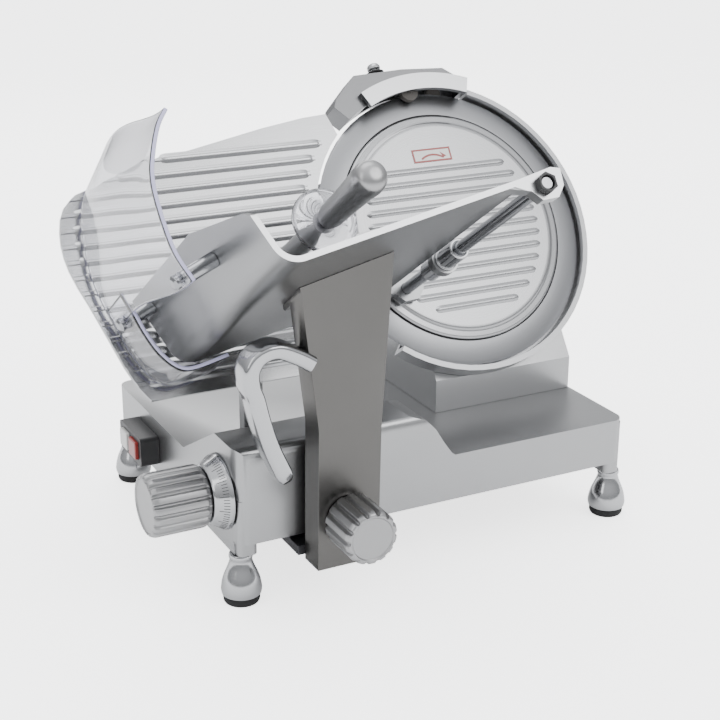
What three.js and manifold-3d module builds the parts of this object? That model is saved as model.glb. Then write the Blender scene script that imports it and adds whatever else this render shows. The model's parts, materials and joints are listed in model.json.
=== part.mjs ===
// A gravity-feed deli slicer for 300 mm blades, in millimetres, +Z up.
//
// Working frame: the origin is under the front-left foot, +X is the way the food carriage slides,
// +Y points to the back of the machine. The blade and everything on its slope are drawn in the
// "blade frame": x along the carriage's travel, y up the slope, z out of the blade's cutting face.
// The last lines move the whole machine so that its origin lies under the middle of its box.
import * as THREE from "three";
import { mergeVertices } from "three/addons/utils/BufferGeometryUtils.js";
import Module from "manifold-3d";

const wasm = await Module();
wasm.setup();

// ---------------------------------------------------------------- driving dimensions
const gap = 0.3; // between pieces that touch
const wall = 5; // cast aluminium walls
const bladeRadius = 150;
const bladeLean = 33.84; // degrees that the blade's top leans back from upright
const bladeCentre = [314.7, 159.3, 282.9];
const footSpan = [413, 302.7];
const baseX = [-8, 419.8];
const baseY = [-14, 317];
const skirtZ = 61.7; // lower edge of the base's walls
const deckZ = 108.6;
const frontBox = { top: 155, back: 37, rampFoot: 120, rightEnd: 170, rampRight: 228 };
const pedestalX = [254.2, 418];
const pedestalFront = 85.4;
const guardRing = { inner: 152.8, outer: 158.4, front: 4.4, back: -15.2 };
const gaugeTravel = 15; // slice thickness range
const dialAxis = { y: 24.4, z: 102.5 };
const dialRadius = 36;
const dialShaft = 6; // radius
const knobRadius = 29.5;
const trayDepth = [7, 296]; // distance of the tray's two edges from the blade's plane
const trayCorner = [-330.4, -104];
const trayFloorAngle = 10.7;
const trayWallAngle = 112;
const trayThickness = 5;
const armFront = -55; // front face of the carriage arm
const armDepth = 28;
const lockKnob = { x: 81, z: 92, radius: 25.5, length: 46, screw: 4 };
const carriageRod = { y: 4, z: 68, radius: 8 };
const pusherRod = { x: -83, y: -64, radius: 6 };
const pusherHandle = [-243, -42];
const sharpenerPost = { radius: 6, z: -28 };
const guide = { x: 60, y: 118, z: 84, radius: 6 }; // middle of the slide that carries the gauge

// ---------------------------------------------------------------- colours and finishes
const metal = (color, roughness) => new THREE.MeshStandardMaterial({ color, roughness, metalness: 1 });
const plastic = (color, roughness) => new THREE.MeshStandardMaterial({ color, roughness, metalness: 0 });
const castAluminium = metal(0xb9babc, 0.38);
const brushedArm = metal(0x8b8a86, 0.42);
const polished = metal(0xd4d5d8, 0.2);
const steel = metal(0xc4c6ca, 0.25);
const darkSteel = metal(0x55575a, 0.5);
const bladeSteel = metal(0xc9cbd0, 0.22);
const blackPlastic = plastic(0x17181a, 0.5);
const blackRubber = plastic(0x1b1b1c, 0.85);
const redPlastic = plastic(0xb2322b, 0.4);
const whitePlastic = plastic(0xd9dad6, 0.4);
const stoneGrey = plastic(0x8d857a, 0.95);
const clear = new THREE.MeshStandardMaterial({
  color: 0xe4e6f2,
  roughness: 0.08,
  metalness: 0,
  transparent: true,
  opacity: 0.35,
});

// ---------------------------------------------------------------- solids
const radians = THREE.MathUtils.degToRad;

// A closed geometry becomes a solid; a profile drawn the other way round is turned back.
function solid(geometry) {
  const bare = geometry.index ? geometry.toNonIndexed() : geometry.clone();
  bare.deleteAttribute("normal");
  bare.deleteAttribute("uv");
  const merged = mergeVertices(bare, 1e-4);
  const triVerts = new Uint32Array(merged.index.array);
  const vertProperties = merged.attributes.position.array;
  const made = new wasm.Manifold(new wasm.Mesh({ numProp: 3, vertProperties, triVerts }));
  if (made.volume() > 0) return made;
  for (let i = 0; i < triVerts.length; i += 3) {
    [triVerts[i + 1], triVerts[i + 2]] = [triVerts[i + 2], triVerts[i + 1]];
  }
  return new wasm.Manifold(new wasm.Mesh({ numProp: 3, vertProperties, triVerts }));
}

function geometryOf(body) {
  const mesh = body.getMesh();
  const geometry = new THREE.BufferGeometry();
  geometry.setAttribute("position", new THREE.BufferAttribute(mesh.vertProperties, 3));
  geometry.setIndex(new THREE.BufferAttribute(mesh.triVerts, 1));
  return geometry;
}

const join = (...bodies) => bodies.reduce((all, one) => all.add(one));
const cut = (body, ...tools) => tools.reduce((left, tool) => left.subtract(tool), body);

function box(x, y, z) {
  const geometry = new THREE.BoxGeometry(x[1] - x[0], y[1] - y[0], z[1] - z[0]);
  geometry.translate((x[0] + x[1]) / 2, (y[0] + y[1]) / 2, (z[0] + z[1]) / 2);
  return solid(geometry);
}

// Matrices that stand a shape drawn in x, y and pushed along z in another plane.
const planes = {
  xy: new THREE.Matrix4(),
  yz: new THREE.Matrix4().set(0, 0, 1, 0, 1, 0, 0, 0, 0, 1, 0, 0, 0, 0, 0, 1),
  xz: new THREE.Matrix4().set(1, 0, 0, 0, 0, 0, -1, 0, 0, 1, 0, 0, 0, 0, 0, 1),
};

// An outline in one plane, pushed between two depths across that plane.
function slab(outline, depth, plane = "xy", curveSegments = 5) {
  const shape = outline instanceof THREE.Shape ? outline : new THREE.Shape(points(outline));
  const length = depth[1] - depth[0];
  const geometry = new THREE.ExtrudeGeometry(shape, { depth: length, bevelEnabled: false, curveSegments });
  geometry.translate(0, 0, plane === "xz" ? -depth[1] : depth[0]);
  geometry.applyMatrix4(planes[plane]);
  return solid(geometry);
}

const points = (list) => list.map(([a, b]) => new THREE.Vector2(a, b));

// A turned piece: a closed profile of [radius, height] about an axis through the origin.
function turned(profile, axis = "z", sides = 32) {
  const geometry = new THREE.LatheGeometry(points([...profile, profile[0]]), sides);
  if (axis === "z") geometry.rotateX(Math.PI / 2);
  if (axis === "x") geometry.rotateZ(-Math.PI / 2);
  return solid(geometry);
}

function rod(radius, from, to, sides = 20) {
  const start = new THREE.Vector3(...from);
  const along = new THREE.Vector3(...to).sub(start);
  const geometry = new THREE.CylinderGeometry(radius, radius, along.length(), sides);
  geometry.translate(0, along.length() / 2, 0);
  const up = new THREE.Vector3(0, 1, 0);
  geometry.applyQuaternion(new THREE.Quaternion().setFromUnitVectors(up, along.clone().normalize()));
  geometry.translate(...from);
  return solid(geometry);
}

const tube = (outer, inner, from, to, sides = 24) => {
  const middle = from.map((value, i) => (value + to[i]) / 2);
  const stretch = (p) => p.map((value, i) => middle[i] + (value - middle[i]) * 1.2);
  return cut(rod(outer, from, to, sides), rod(inner, stretch(from), stretch(to), sides));
};

function roundedRectangle(x, y, r) {
  const shape = new THREE.Shape();
  shape.moveTo(x[0] + r, y[0]);
  shape.lineTo(x[1] - r, y[0]);
  shape.absarc(x[1] - r, y[0] + r, r, -Math.PI / 2, 0);
  shape.lineTo(x[1], y[1] - r);
  shape.absarc(x[1] - r, y[1] - r, r, 0, Math.PI / 2);
  shape.lineTo(x[0] + r, y[1]);
  shape.absarc(x[0] + r, y[1] - r, r, Math.PI / 2, Math.PI);
  shape.lineTo(x[0], y[0] + r);
  shape.absarc(x[0] + r, y[0] + r, r, Math.PI, 1.5 * Math.PI);
  return shape;
}

// The upright stadium that fits round two circles, the upper one at the origin.
function stadium(upper, lower, drop) {
  const lean = Math.asin((upper - lower) / drop);
  const shape = new THREE.Shape();
  shape.absarc(0, 0, upper, -lean, Math.PI + lean);
  shape.absarc(0, -drop, lower, Math.PI + lean, 2 * Math.PI - lean);
  return shape;
}

// A ring sector between two angles in degrees, as an outline.
function sector(inner, outer, from, to, steps = 24) {
  const at = (r, i) => {
    const angle = radians(from + ((to - from) * i) / steps);
    return [r * Math.cos(angle), r * Math.sin(angle)];
  };
  const count = [...Array(steps + 1).keys()];
  return [...count.map((i) => at(outer, i)), ...count.reverse().map((i) => at(inner, i))];
}

// The outline of a knob with round-bottomed flutes.
function fluted(radius, flutes, depth) {
  const steps = flutes * 4;
  return [...Array(steps).keys()].map((i) => {
    const angle = (2 * Math.PI * i) / steps;
    const dip = Math.max(0, Math.cos(angle * flutes));
    const r = radius - depth * dip;
    return [r * Math.cos(angle), r * Math.sin(angle)];
  });
}

const root = new THREE.Group();
const bladeFrame = new THREE.Group();
bladeFrame.position.set(...bladeCentre);
bladeFrame.rotation.x = Math.PI / 2 - radians(bladeLean);
root.add(bladeFrame);
bladeFrame.updateMatrix();

// A solid drawn in the blade frame, given in the working frame.
const fromBladeFrame = (body) => body.transform(bladeFrame.matrix.toArray());
const placed = (point) => new THREE.Vector3(...point).applyMatrix4(bladeFrame.matrix).toArray();

function addNode(name, body, material, group = root) {
  const mesh = new THREE.Mesh(geometryOf(body), material);
  mesh.name = name;
  group.add(mesh);
}

// ---------------------------------------------------------------- base
const tower = { radius: 50, front: -16, back: -92 };
const pedestalTop = -45; // height of the pedestal's long slope, in the blade frame

function yzOfBlade(y, z) {
  const point = placed([0, y, z]);
  return [point[1], point[2]];
}

// The front box's end drops to the deck in an S-shaped ramp.
function frontBoxOutline(top, right, ramp, foot) {
  const shape = new THREE.Shape();
  shape.moveTo(baseX[0] - 1, foot);
  shape.lineTo(right + ramp, foot);
  shape.lineTo(right + ramp, deckZ - 6);
  shape.bezierCurveTo(right + ramp * 0.55, deckZ + 2, right + ramp * 0.55, top, right, top);
  shape.lineTo(baseX[0] - 1, top);
  return shape;
}

function frontBoxSection(inset) {
  const front = baseY[0] + inset;
  const top = frontBox.top - inset;
  const shape = new THREE.Shape();
  shape.moveTo(front, 90);
  shape.lineTo(frontBox.rampFoot - inset, 90);
  shape.lineTo(frontBox.rampFoot - inset, deckZ - inset);
  shape.lineTo(frontBox.back - inset * 0.3, top);
  shape.lineTo(front + 9, top);
  shape.quadraticCurveTo(front + 1, top, front, top - 11);
  return shape;
}

function pedestalSection(inset) {
  const foot = yzOfBlade(-155 + inset, tower.front - 0.8 - inset);
  const shoulder = yzOfBlade(pedestalTop - inset, tower.front - 0.8 - inset);
  const slopeEnd = yzOfBlade(pedestalTop - inset, -220 + inset);
  return [
    [pedestalFront + inset, 80],
    [baseY[1] - inset, 80],
    [baseY[1] - inset, slopeEnd[1] - 14],
    [baseY[1] - inset - 16, slopeEnd[1] + 6],
    shoulder,
    [pedestalFront + inset, foot[1] - 1],
  ];
}

function baseShape(inset, bottom) {
  const x = [baseX[0] + inset, baseX[1] - inset];
  const y = [baseY[0] + inset, baseY[1] - inset];
  const plan = slab(roundedRectangle(x, y, 14 - inset), [bottom - 1, 300]);
  const deck = box(x, y, [bottom, deckZ - inset]);
  const ramp = frontBox.rampRight - frontBox.rightEnd;
  const outline = frontBoxOutline(frontBox.top - inset, frontBox.rightEnd, ramp - inset, 90);
  const front = slab(frontBoxSection(inset), x, "yz").intersect(slab(outline, [-40, 200], "xz"));
  const pedestal = slab(
    pedestalSection(inset),
    [pedestalX[0] + inset, pedestalX[1] - inset],
    "yz",
  );
  return join(deck, front, pedestal).intersect(plan);
}

function makeBase() {
  const feet = footCentres();
  const outerTower = slab(stadium(tower.radius, tower.radius - 0.5, 90), [tower.back, tower.front]);
  const innerRadius = tower.radius - wall;
  const innerTower = slab(stadium(innerRadius, innerRadius - 0.5, 90), [tower.back - 30, tower.front - wall]);
  let shell = join(baseShape(0, skirtZ), fromBladeFrame(outerTower));
  shell = cut(shell, baseShape(wall, 30), fromBladeFrame(innerTower));
  const leftSkirt = box([baseX[0], baseX[0] + wall], [baseY[0] + 10, baseY[1] - 10], [50, skirtZ + 1]);
  const pads = feet.map(([x, y]) => {
    const reachX = [Math.max(x - 13, baseX[0] + 1.5), Math.min(x + 13, baseX[1] - 1.5)];
    const reachY = [Math.max(y - 12, baseY[0] + 1.5), Math.min(y + 12, baseY[1] - 1.5)];
    return slab(roundedRectangle(reachX, reachY, 6), [50, deckZ - wall + 1]);
  });
  const bosses = [
    rod(12, [baseX[0] + 3, carriageRod.y, carriageRod.z], [14, carriageRod.y, carriageRod.z]),
    rod(12, [398, carriageRod.y, carriageRod.z], [baseX[1] - 3, carriageRod.y, carriageRod.z]),
    rod(11, [baseX[0] + 3, dialAxis.y, dialAxis.z], [6, dialAxis.y, dialAxis.z]),
  ];
  shell = join(shell, leftSkirt, ...pads, ...bosses);
  const footHoles = feet.map(([x, y]) => rod(4 + gap, [x, y, 40], [x, y, 58], 16));
  const rodHole = rod(
    carriageRod.radius + gap,
    [2, carriageRod.y, carriageRod.z],
    [410, carriageRod.y, carriageRod.z],
  );
  const dialHole = rod(dialShaft + gap, [-20, dialAxis.y, dialAxis.z], [20, dialAxis.y, dialAxis.z]);
  const cableHole = rod(7, [-20, 222, 76], [5, 222, 76], 16);
  const inletHole = rod(8 + gap, [60, 300, 84], [60, 330, 84], 20);
  const gaugeSlot = box([guide.x - 13, guide.x + 13], [96, 134], [98, 140]);
  const hubHole = fromBladeFrame(rod(26 + gap, [0, 0, -30], [0, 0, -10], 32));
  const vents = [...Array(7).keys()].map((i) => {
    const x = 285 + i * 15;
    return slab(roundedRectangle([x, x + 6], [70, 98], 2.9), [305, 325], "xz", 3);
  });
  return cut(shell, ...footHoles, rodHole, dialHole, cableHole, inletHole, gaugeSlot, hubHole, ...vents);
}

function footCentres() {
  return [
    [0, 0],
    [footSpan[0], 0],
    [0, footSpan[1]],
    footSpan,
  ];
}

function makeFoot([x, y]) {
  const bell = [
    [0, 8.3],
    [18.5, 8.3],
    [19.2, 13],
    [18.2, 22],
    [15, 32],
    [11, 39],
    [10.4, 43.5],
    [10.4, 49.6],
    [4, 49.6],
    [4, 57],
    [0, 57],
  ];
  return turned(bell, "z", 20).translate([x, y, 0]);
}

const makePad = ([x, y]) =>
  turned([[0, 0], [16, 0], [17, 2], [17, 8], [0, 8]], "z", 20).translate([x, y, 0]);

// The blade's stand is its own casting, bolted on the deck.
const standZone = (low) => box([240, 430], [60, 330], [low, 400]);
const castings = makeBase();
addNode("base_housing", castings.subtract(standZone(deckZ + gap / 2)), castAluminium);
addNode("blade_stand", castings.intersect(standZone(deckZ + 1.5 * gap)), castAluminium);
addNode("bottom_cover", box([102, 398], [70, 306], [57.5, 59.5]), darkSteel);
const footNames = ["front_left", "front_right", "back_left", "back_right"];
footCentres().forEach((centre, i) => {
  addNode(`foot_bell_${footNames[i]}`, makeFoot(centre), polished);
  addNode(`foot_pad_${footNames[i]}`, makePad(centre), blackRubber);
});

// ---------------------------------------------------------------- switch and mains inlet
const switchBox = { x: [-28, baseX[0] - gap], y: [190, 254], z: [62, 93] };
const buttonY = { start: [225, 246], stop: [198, 219] };

function makeSwitchBox() {
  const shell = slab(roundedRectangle(switchBox.y, switchBox.z, 4), switchBox.x, "yz");
  const wells = Object.values(buttonY).map((y) =>
    box([switchBox.x[0] - 1, switchBox.x[0] + 14], [y[0] - gap, y[1] + gap], [68 - gap, 87 + gap]),
  );
  return cut(shell, ...wells);
}

const makeButton = (y) => box([switchBox.x[0] - 3.5, switchBox.x[0] + 8], y, [68, 87]);

addNode("switch_box", makeSwitchBox(), blackPlastic);
addNode("start_button", makeButton(buttonY.start), whitePlastic);
addNode("stop_button", makeButton(buttonY.stop), redPlastic);
const gland = [[0, -6], [7.5, -6], [7.5, 5.3], [11, 5.3], [11, 12], [7, 20], [4, 20], [4, 8], [0, 8]];
const glandBody = turned(gland, "z", 20).rotate([-90, 0, 0]).translate([60, baseY[1] - wall, 84]);
addNode("cord_gland", glandBody, blackRubber);

// ---------------------------------------------------------------- slice thickness dial
const cam = { x: [18, 30], radius: 30, start: 9, pin: 3 };
const dialTurn = 300;
const camDirection = -radians(bladeLean); // the gauge moves this way in the Y-Z plane

// The groove's middle line is a spiral that gains gaugeTravel over the dial's turn.
function camGroove() {
  const steps = 36;
  const edge = (side) =>
    [...Array(steps + 1).keys()].map((i) => {
      const turn = radians(-30 + ((dialTurn + 42) * i) / steps);
      const r = cam.start + (gaugeTravel * turn) / radians(dialTurn) + side * (cam.pin + gap);
      const angle = camDirection - turn;
      return [dialAxis.y + r * Math.cos(angle), dialAxis.z + r * Math.sin(angle)];
    });
  return slab([...edge(1), ...edge(-1).reverse()], [24.5, 31], "yz");
}

function makeCam() {
  const disc = rod(cam.radius, [cam.x[0], dialAxis.y, dialAxis.z], [cam.x[1], dialAxis.y, dialAxis.z], 48);
  const seat = rod(dialShaft + gap, [10, dialAxis.y, dialAxis.z], [23.5, dialAxis.y, dialAxis.z]);
  return cut(disc, seat, camGroove());
}

const onDialAxis = (body) => body.translate([0, dialAxis.y, dialAxis.z]);

function makeKnob() {
  const grip = slab(fluted(knobRadius, 18, 2.6), [-81, -27], "yz");
  const faceProfile = [[0, -82], [26.5, -82], [knobRadius - 1.5, -80.5], [knobRadius, -79], [0, -79]];
  const face = turned(faceProfile, "x", 36);
  const collar = turned([[0, -28], [27, -28], [27, -25.3], [0, -25.3]], "x", 36);
  const seat = rod(dialShaft + gap, [-45, 0, 0], [-20, 0, 0]);
  return onDialAxis(cut(join(grip, face, collar), seat));
}

addNode("dial_shaft", rod(dialShaft, [-44, dialAxis.y, dialAxis.z], [23, dialAxis.y, dialAxis.z]), steel);
addNode("dial_cam", makeCam(), darkSteel);
const cone = [
  [dialShaft + gap, -25], [27.5, -25], [28, -24],
  [dialRadius, -10.5], [dialRadius, -8.3], [dialShaft + gap, -8.3],
];
addNode("dial_ring", onDialAxis(turned(cone, "x", 32)), polished);
addNode("thickness_knob", makeKnob(), castAluminium);

// ---------------------------------------------------------------- gauge plate and its slide
const gaugeBack = -5;
const gaugeEdge = bladeRadius + 3.5; // the plate curves round the blade at this radius

function gaugeOutline() {
  const around = [...Array(15).keys()].map((i) => {
    const angle = radians(133 + ((214 - 133) * i) / 14);
    return [gaugeEdge * Math.cos(angle), gaugeEdge * Math.sin(angle)];
  });
  const left = new THREE.CatmullRomCurve3(
    [[-363, -129], [-374, -111], [-398, -36], [-411, 5], [-413, 35], [-405, 64], [-390, 78]].map(
      ([x, y]) => new THREE.Vector3(x, y, 0),
    ),
  );
  const leftEdge = left.getPoints(14).map((p) => [p.x, p.y]);
  const topEdge = [[-300, 107], [-269, 111], [-186, 127], [-139, 134]];
  return [[-112, 136], ...around, [-150, -129], ...leftEdge, ...topEdge];
}

function makeGaugePlate() {
  const plate = slab(gaugeOutline(), [gaugeBack, 0]);
  const pitch = 15.5;
  const ribs = [...Array(15).keys()].map((i) => {
    const y = -112 + i * pitch;
    const section = [[y - 3.5, -1], [y + 3.5, -1], [y + 1.6, 1.2], [y - 1.6, 1.2]];
    const right = Math.abs(y) < bladeRadius ? -Math.sqrt((gaugeEdge + 10) ** 2 - y * y) : -150;
    return slab(section, [-420, Math.min(right, -118)], "yz");
  });
  const trimmed = join(...ribs).intersect(slab(gaugeOutline(), [-2, 3]));
  return plate.add(trimmed);
}

// The way in which the gauge opens.
const gaugeUnit = new THREE.Vector3(0, Math.cos(-camDirection), -Math.sin(-camDirection));

const alongGuide = (distance) => [
  guide.x,
  guide.y + gaugeUnit.y * distance,
  guide.z + gaugeUnit.z * distance,
];

// A solid drawn about the guide's middle, with z along the way the gauge closes.
const onGuide = (body) => body.rotate([90 - bladeLean, 0, 0]).translate([guide.x, guide.y, guide.z]);

function makeGaugeBracket() {
  const pad = fromBladeFrame(box([-292, -218], [-124, -62], [-17, gaugeBack - gap]));
  const block = onGuide(slab(roundedRectangle([-12, 12], [-11, 11], 3), [4, 24]));
  const behindPlate = fromBladeFrame(box([-400, 0], [-220, 0], [-120, gaugeBack - gap]));
  const stem = box([guide.x - 10, guide.x + 10], [104, 116], [88, 190]).intersect(behindPlate);
  const arm = slab([[28, 92.5], [114, 86], [114, 97], [36, 102], [28, 102]], [31.5, 41], "yz");
  const crossbar = box([31.5, guide.x + 11], [104, 114], [86.5, 97]);
  const pinY = dialAxis.y + cam.start * Math.cos(camDirection);
  const pinZ = dialAxis.z + cam.start * Math.sin(camDirection);
  const pin = rod(cam.pin, [25, pinY, pinZ], [36, pinY, pinZ], 20);
  const bore = rod(guide.radius + gap, alongGuide(-40), alongGuide(40));
  return cut(join(pad, block, stem, arm, crossbar, pin), bore);
}

function makeGaugeGuide() {
  const lug = (middle) => onGuide(box([-13, 20], [-11, 11], [middle - 3, middle + 3]));
  const bridge = box([guide.x + 16, guide.x + 24], [88, 146], [66, deckZ - wall - gap]);
  const bore = rod(guide.radius + gap, alongGuide(-40), alongGuide(40));
  return cut(join(lug(30), lug(-30), bridge), bore);
}

addNode("gauge_plate", makeGaugePlate(), castAluminium, bladeFrame);
addNode("gauge_bracket", makeGaugeBracket(), castAluminium);
addNode("gauge_guide", makeGaugeGuide(), castAluminium);
addNode("gauge_rod", rod(guide.radius, alongGuide(-32.5), alongGuide(32.5)), steel);

// ---------------------------------------------------------------- blade, its housing and its drive
const hubRadius = 26;

function makeBladeHousing() {
  const { inner, outer, front, back } = guardRing;
  const plate = -10.5; // front face of the housing's plate
  const discProfile = [[30, back], [outer, back], [outer, front], [inner, front], [inner, plate], [30, plate]];
  const hubProfile = [[0, -52], [hubRadius, -52], [hubRadius, -16], [34, back], [34, plate], [0, plate]];
  const disc = turned(discProfile, "z", 64);
  const hub = turned(hubProfile, "z", 40);
  const bores = join(
    rod(17.6, [0, 0, -60], [0, 0, -38], 32),
    rod(13, [0, 0, -60], [0, 0, 0], 32),
    rod(17.6, [0, 0, -24], [0, 0, 0], 32),
  );
  const openSide = slab(sector(141, 175, 68, 231), [-30, 10]);
  const bracket = box([-16, 16], [118, 140], [-36, back + 2]);
  const { radius, z } = sharpenerPost;
  const postHole = rod(radius + gap, [0, 123, z], [0, 160, z]);
  return join(cut(join(disc, hub), bores, openSide), bracket).subtract(postHole);
}

function makeShaft() {
  const profile = [
    [4.6, -82], [8.5, -82], [8.5, -10.2], [39, -10.2], [40, -9.4],
    [40, -5.3], [7.6, -5.3], [7.6, -2.2], [4.6, -2.2],
  ];
  return turned(profile, "z", 28);
}

function makeBlade() {
  const edge = [[bladeRadius - 2, -5], [bladeRadius, -4.7], [bladeRadius - 3, -3.2]];
  const profile = [[8, -5], ...edge, [126, -2.2], [124, -2], [8, -2]];
  return turned(profile, "z", 64);
}

function makeBladeCover() {
  const profile = [
    [0, -1.6], [10, -1.6], [10, 0.8], [112, 0.8], [117, -1.6], [123.6, -1.6],
    [123.6, -0.4], [121, 1.2], [114, 1.6], [111, 3.2], [0, 3.2],
  ];
  const disc = turned(profile, "z", 64);
  const ribs = [...Array(12).keys()].map((i) => {
    const y = 62 - i * 13.6;
    const reach = Math.sqrt(102 ** 2 - y * y);
    return slab(roundedRectangle([-reach, reach], [y - 2.2, y + 2.2], 2.1), [2.5, 4.2], "xy", 2);
  });
  return cut(join(disc, ...ribs), rod(3.2, [0, 0, -5], [0, 0, 1.6], 20));
}

const bearing = (from) => tube(17.3, 8.8, [0, 0, from], [0, 0, from + 11.5], 32);
const pulleyGap = { hub: 34, motor: 15, drop: 95 };

function makePulley(radius, bore) {
  const rim = radius + 2.5;
  const profile = [
    [bore, -79], [rim, -79], [rim, -77.5], [radius, -77.5],
    [radius, -64.5], [rim, -64.5], [rim, -63], [bore, -63],
  ];
  return turned(profile, "z", 28);
}

function makeBelt() {
  const { hub, motor, drop } = pulleyGap;
  const loop = (extra) => slab(stadium(hub + extra, motor + extra, drop), [-77, -65], "xy", 9);
  return cut(loop(2.8), loop(gap).translate([0, 0, -1]).add(loop(gap).translate([0, 0, 1])));
}

function makeMotor() {
  const profile = [[0, -86], [20, -86], [38, -88], [41, -92], [41, -150], [38, -155], [0, -155]];
  const body = turned(profile, "z", 32);
  const fin = box([-1.2, 1.2], [38, 43], [-145, -96]);
  const fins = [...Array(12).keys()].map((i) => fin.rotate([0, 0, i * 30]));
  const shaftHole = rod(5 + gap, [0, 0, -108], [0, 0, -80]);
  return cut(join(body, ...fins), shaftHole).translate([0, -pulleyGap.drop, 0]);
}

function makeMotorPulley() {
  const shaft = rod(5, [0, 0, -107], [0, 0, -62]);
  return join(makePulley(pulleyGap.motor, 4.5), shaft).translate([0, -pulleyGap.drop, 0]);
}

addNode("blade_housing", makeBladeHousing(), castAluminium, bladeFrame);
addNode("blade", makeBlade(), bladeSteel, bladeFrame);
addNode("blade_shaft", makeShaft(), steel, bladeFrame);
addNode("front_bearing", bearing(-23.7), steel, bladeFrame);
addNode("rear_bearing", bearing(-51), steel, bladeFrame);
addNode("blade_cover", makeBladeCover(), castAluminium, bladeFrame);
addNode("hub_pulley", makePulley(pulleyGap.hub, 8.8), darkSteel, bladeFrame);
addNode("motor_pulley", makeMotorPulley(), darkSteel, bladeFrame);
addNode("drive_belt", makeBelt(), blackRubber, bladeFrame);
addNode("motor", makeMotor(), darkSteel, bladeFrame);

function makeRearCover() {
  const outline = stadium(tower.radius, tower.radius - 0.5, 90);
  const aboveSlope = box([-60, 60], [pedestalTop + 1, 60], [-110, -80]);
  const plate = slab(outline, [tower.back - 5, tower.back - gap]).intersect(aboveSlope);
  return cut(plate, rod(4.6, [0, 0, -110], [0, 0, -80], 20));
}

const coverRod = join(rod(3.9, [0, 0, -104], [0, 0, -3], 20), rod(2.9, [0, 0, -4], [0, 0, 1.2], 20));
const coverKnob = cut(
  join(slab(fluted(17, 10, 2), [-122, -102]), rod(10, [0, 0, -103], [0, 0, -97.6], 24)),
  rod(4.2, [0, 0, -104.6], [0, 0, -90], 20),
);
addNode("rear_cover", makeRearCover(), castAluminium, bladeFrame);
addNode("cover_rod", coverRod, steel, bladeFrame);
addNode("cover_knob", coverKnob, blackPlastic, bladeFrame);

function makeDeflector() {
  const sheet = [
    [-60.8, -17.8], [-60.8, -15.6], [-100, -15.6], [-118, -18], [-132, -27],
    [-140, -40], [-138.2, -41], [-130.4, -28.6], [-117, -20], [-100, -17.8],
  ];
  return slab(sheet, [-80, 70], "xz");
}

addNode("slice_deflector", makeDeflector(), steel, bladeFrame);

// ---------------------------------------------------------------- sharpener
const sharpenerBack = -22;
const stoneButton = { x: -43 };

function makeSharpener() {
  const outline = [[-104, 139], [-100, 147], [-73, 172], [-15, 175], [34, 173], [51.5, 160], [56, 146.5]];
  const under = sector(153.5, 154, 69, 126, 14).slice(15);
  const block = slab([...outline, ...under.reverse()], [sharpenerBack, 8]);
  const lip = slab(sector(149, 166.5, 70, 116), [7, 15]);
  const hollow = slab(sector(140, 163, 71, 116), [-16, 9.5]);
  const boss = box([-14, 14], [152, 173], [-38, sharpenerBack + 1]);
  const { radius, z } = sharpenerPost;
  const postBore = rod(radius + gap, [0, 140, z], [0, 180, z]);
  const buttonHole = rod(3 + gap, [stoneButton.x, 150, 0], [stoneButton.x, 200, 0], 16);
  return cut(join(block, lip, boss), hollow, postBore, buttonHole);
}

function makeStoneButton() {
  const profile = [[0, 161], [3, 161], [3, 180], [7, 180], [7, 183], [5.5, 185.5], [2.5, 186.8], [0, 187]];
  return turned(profile, "y", 18).translate([stoneButton.x, 0, 0]);
}

const stone = (radius, centre, thickness, spindle) =>
  join(
    rod(radius, [centre[0], centre[1], centre[2]], [centre[0], centre[1], centre[2] + thickness], 32),
    rod(2.5, [centre[0], centre[1], centre[2] + thickness / 2], [centre[0], centre[1], spindle], 16),
  );
const grindingStone = { centre: [24, 151, -14], radius: 8 };
const honingStone = { centre: [-12, 150, 0], radius: 10 };

addNode("sharpener_cover", makeSharpener(), castAluminium, bladeFrame);
const postEnds = [124, 172.5].map((y) => [0, y, sharpenerPost.z]);
addNode("sharpener_post", rod(sharpenerPost.radius, ...postEnds), steel, bladeFrame);
addNode("stone_button", makeStoneButton(), polished, bladeFrame);
const grinding = stone(grindingStone.radius, grindingStone.centre, 7, -15.7);
const honing = stone(honingStone.radius, honingStone.centre, 6, 9.2);
addNode("grinding_stone", grinding, stoneGrey, bladeFrame);
addNode("honing_stone", honing, stoneGrey, bladeFrame);

// ---------------------------------------------------------------- carriage drive inside the base
const slider = { x: [46, 118], y: [-7, 16], z: [47, 80] };
const upright = { x: [60, 106], y: [-50.5, -38.5], top: 130 };
const roller = { x: 82, y: [43.5, 52.5], z: 61.2, radius: 8.3 };

// The lock knob's screw goes through the carriage arm and the slider's post.
const lockScrewHole = () =>
  rod(lockKnob.screw + gap, [lockKnob.x, -60, lockKnob.z], [lockKnob.x, -30, lockKnob.z], 20);

function makeSlider() {
  const block = box(slider.x, slider.y, slider.z);
  const foot = join(
    box(slider.x, [-26.5, slider.y[1]], [slider.z[0], 56.5]),
    box([58.5, 108.5], [upright.y[0], -25], [slider.z[0], 56.5]),
  );
  const post = box(upright.x, upright.y, [slider.z[0], upright.top]);
  const arm = box([roller.x - 7, roller.x + 7], [slider.y[1] - 1, roller.y[0] - 2], [54, 67]);
  const pin = rod(3, [roller.x, roller.y[0] - 4, roller.z], [roller.x, roller.y[1] + 2, roller.z], 20);
  const rodBore = rod(
    carriageRod.radius + gap,
    [slider.x[0] - 5, carriageRod.y, carriageRod.z],
    [slider.x[1] + 5, carriageRod.y, carriageRod.z],
    32,
  );
  const screwHole = lockScrewHole();
  return cut(join(block, foot, post, arm, pin), rodBore, screwHole);
}

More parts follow.
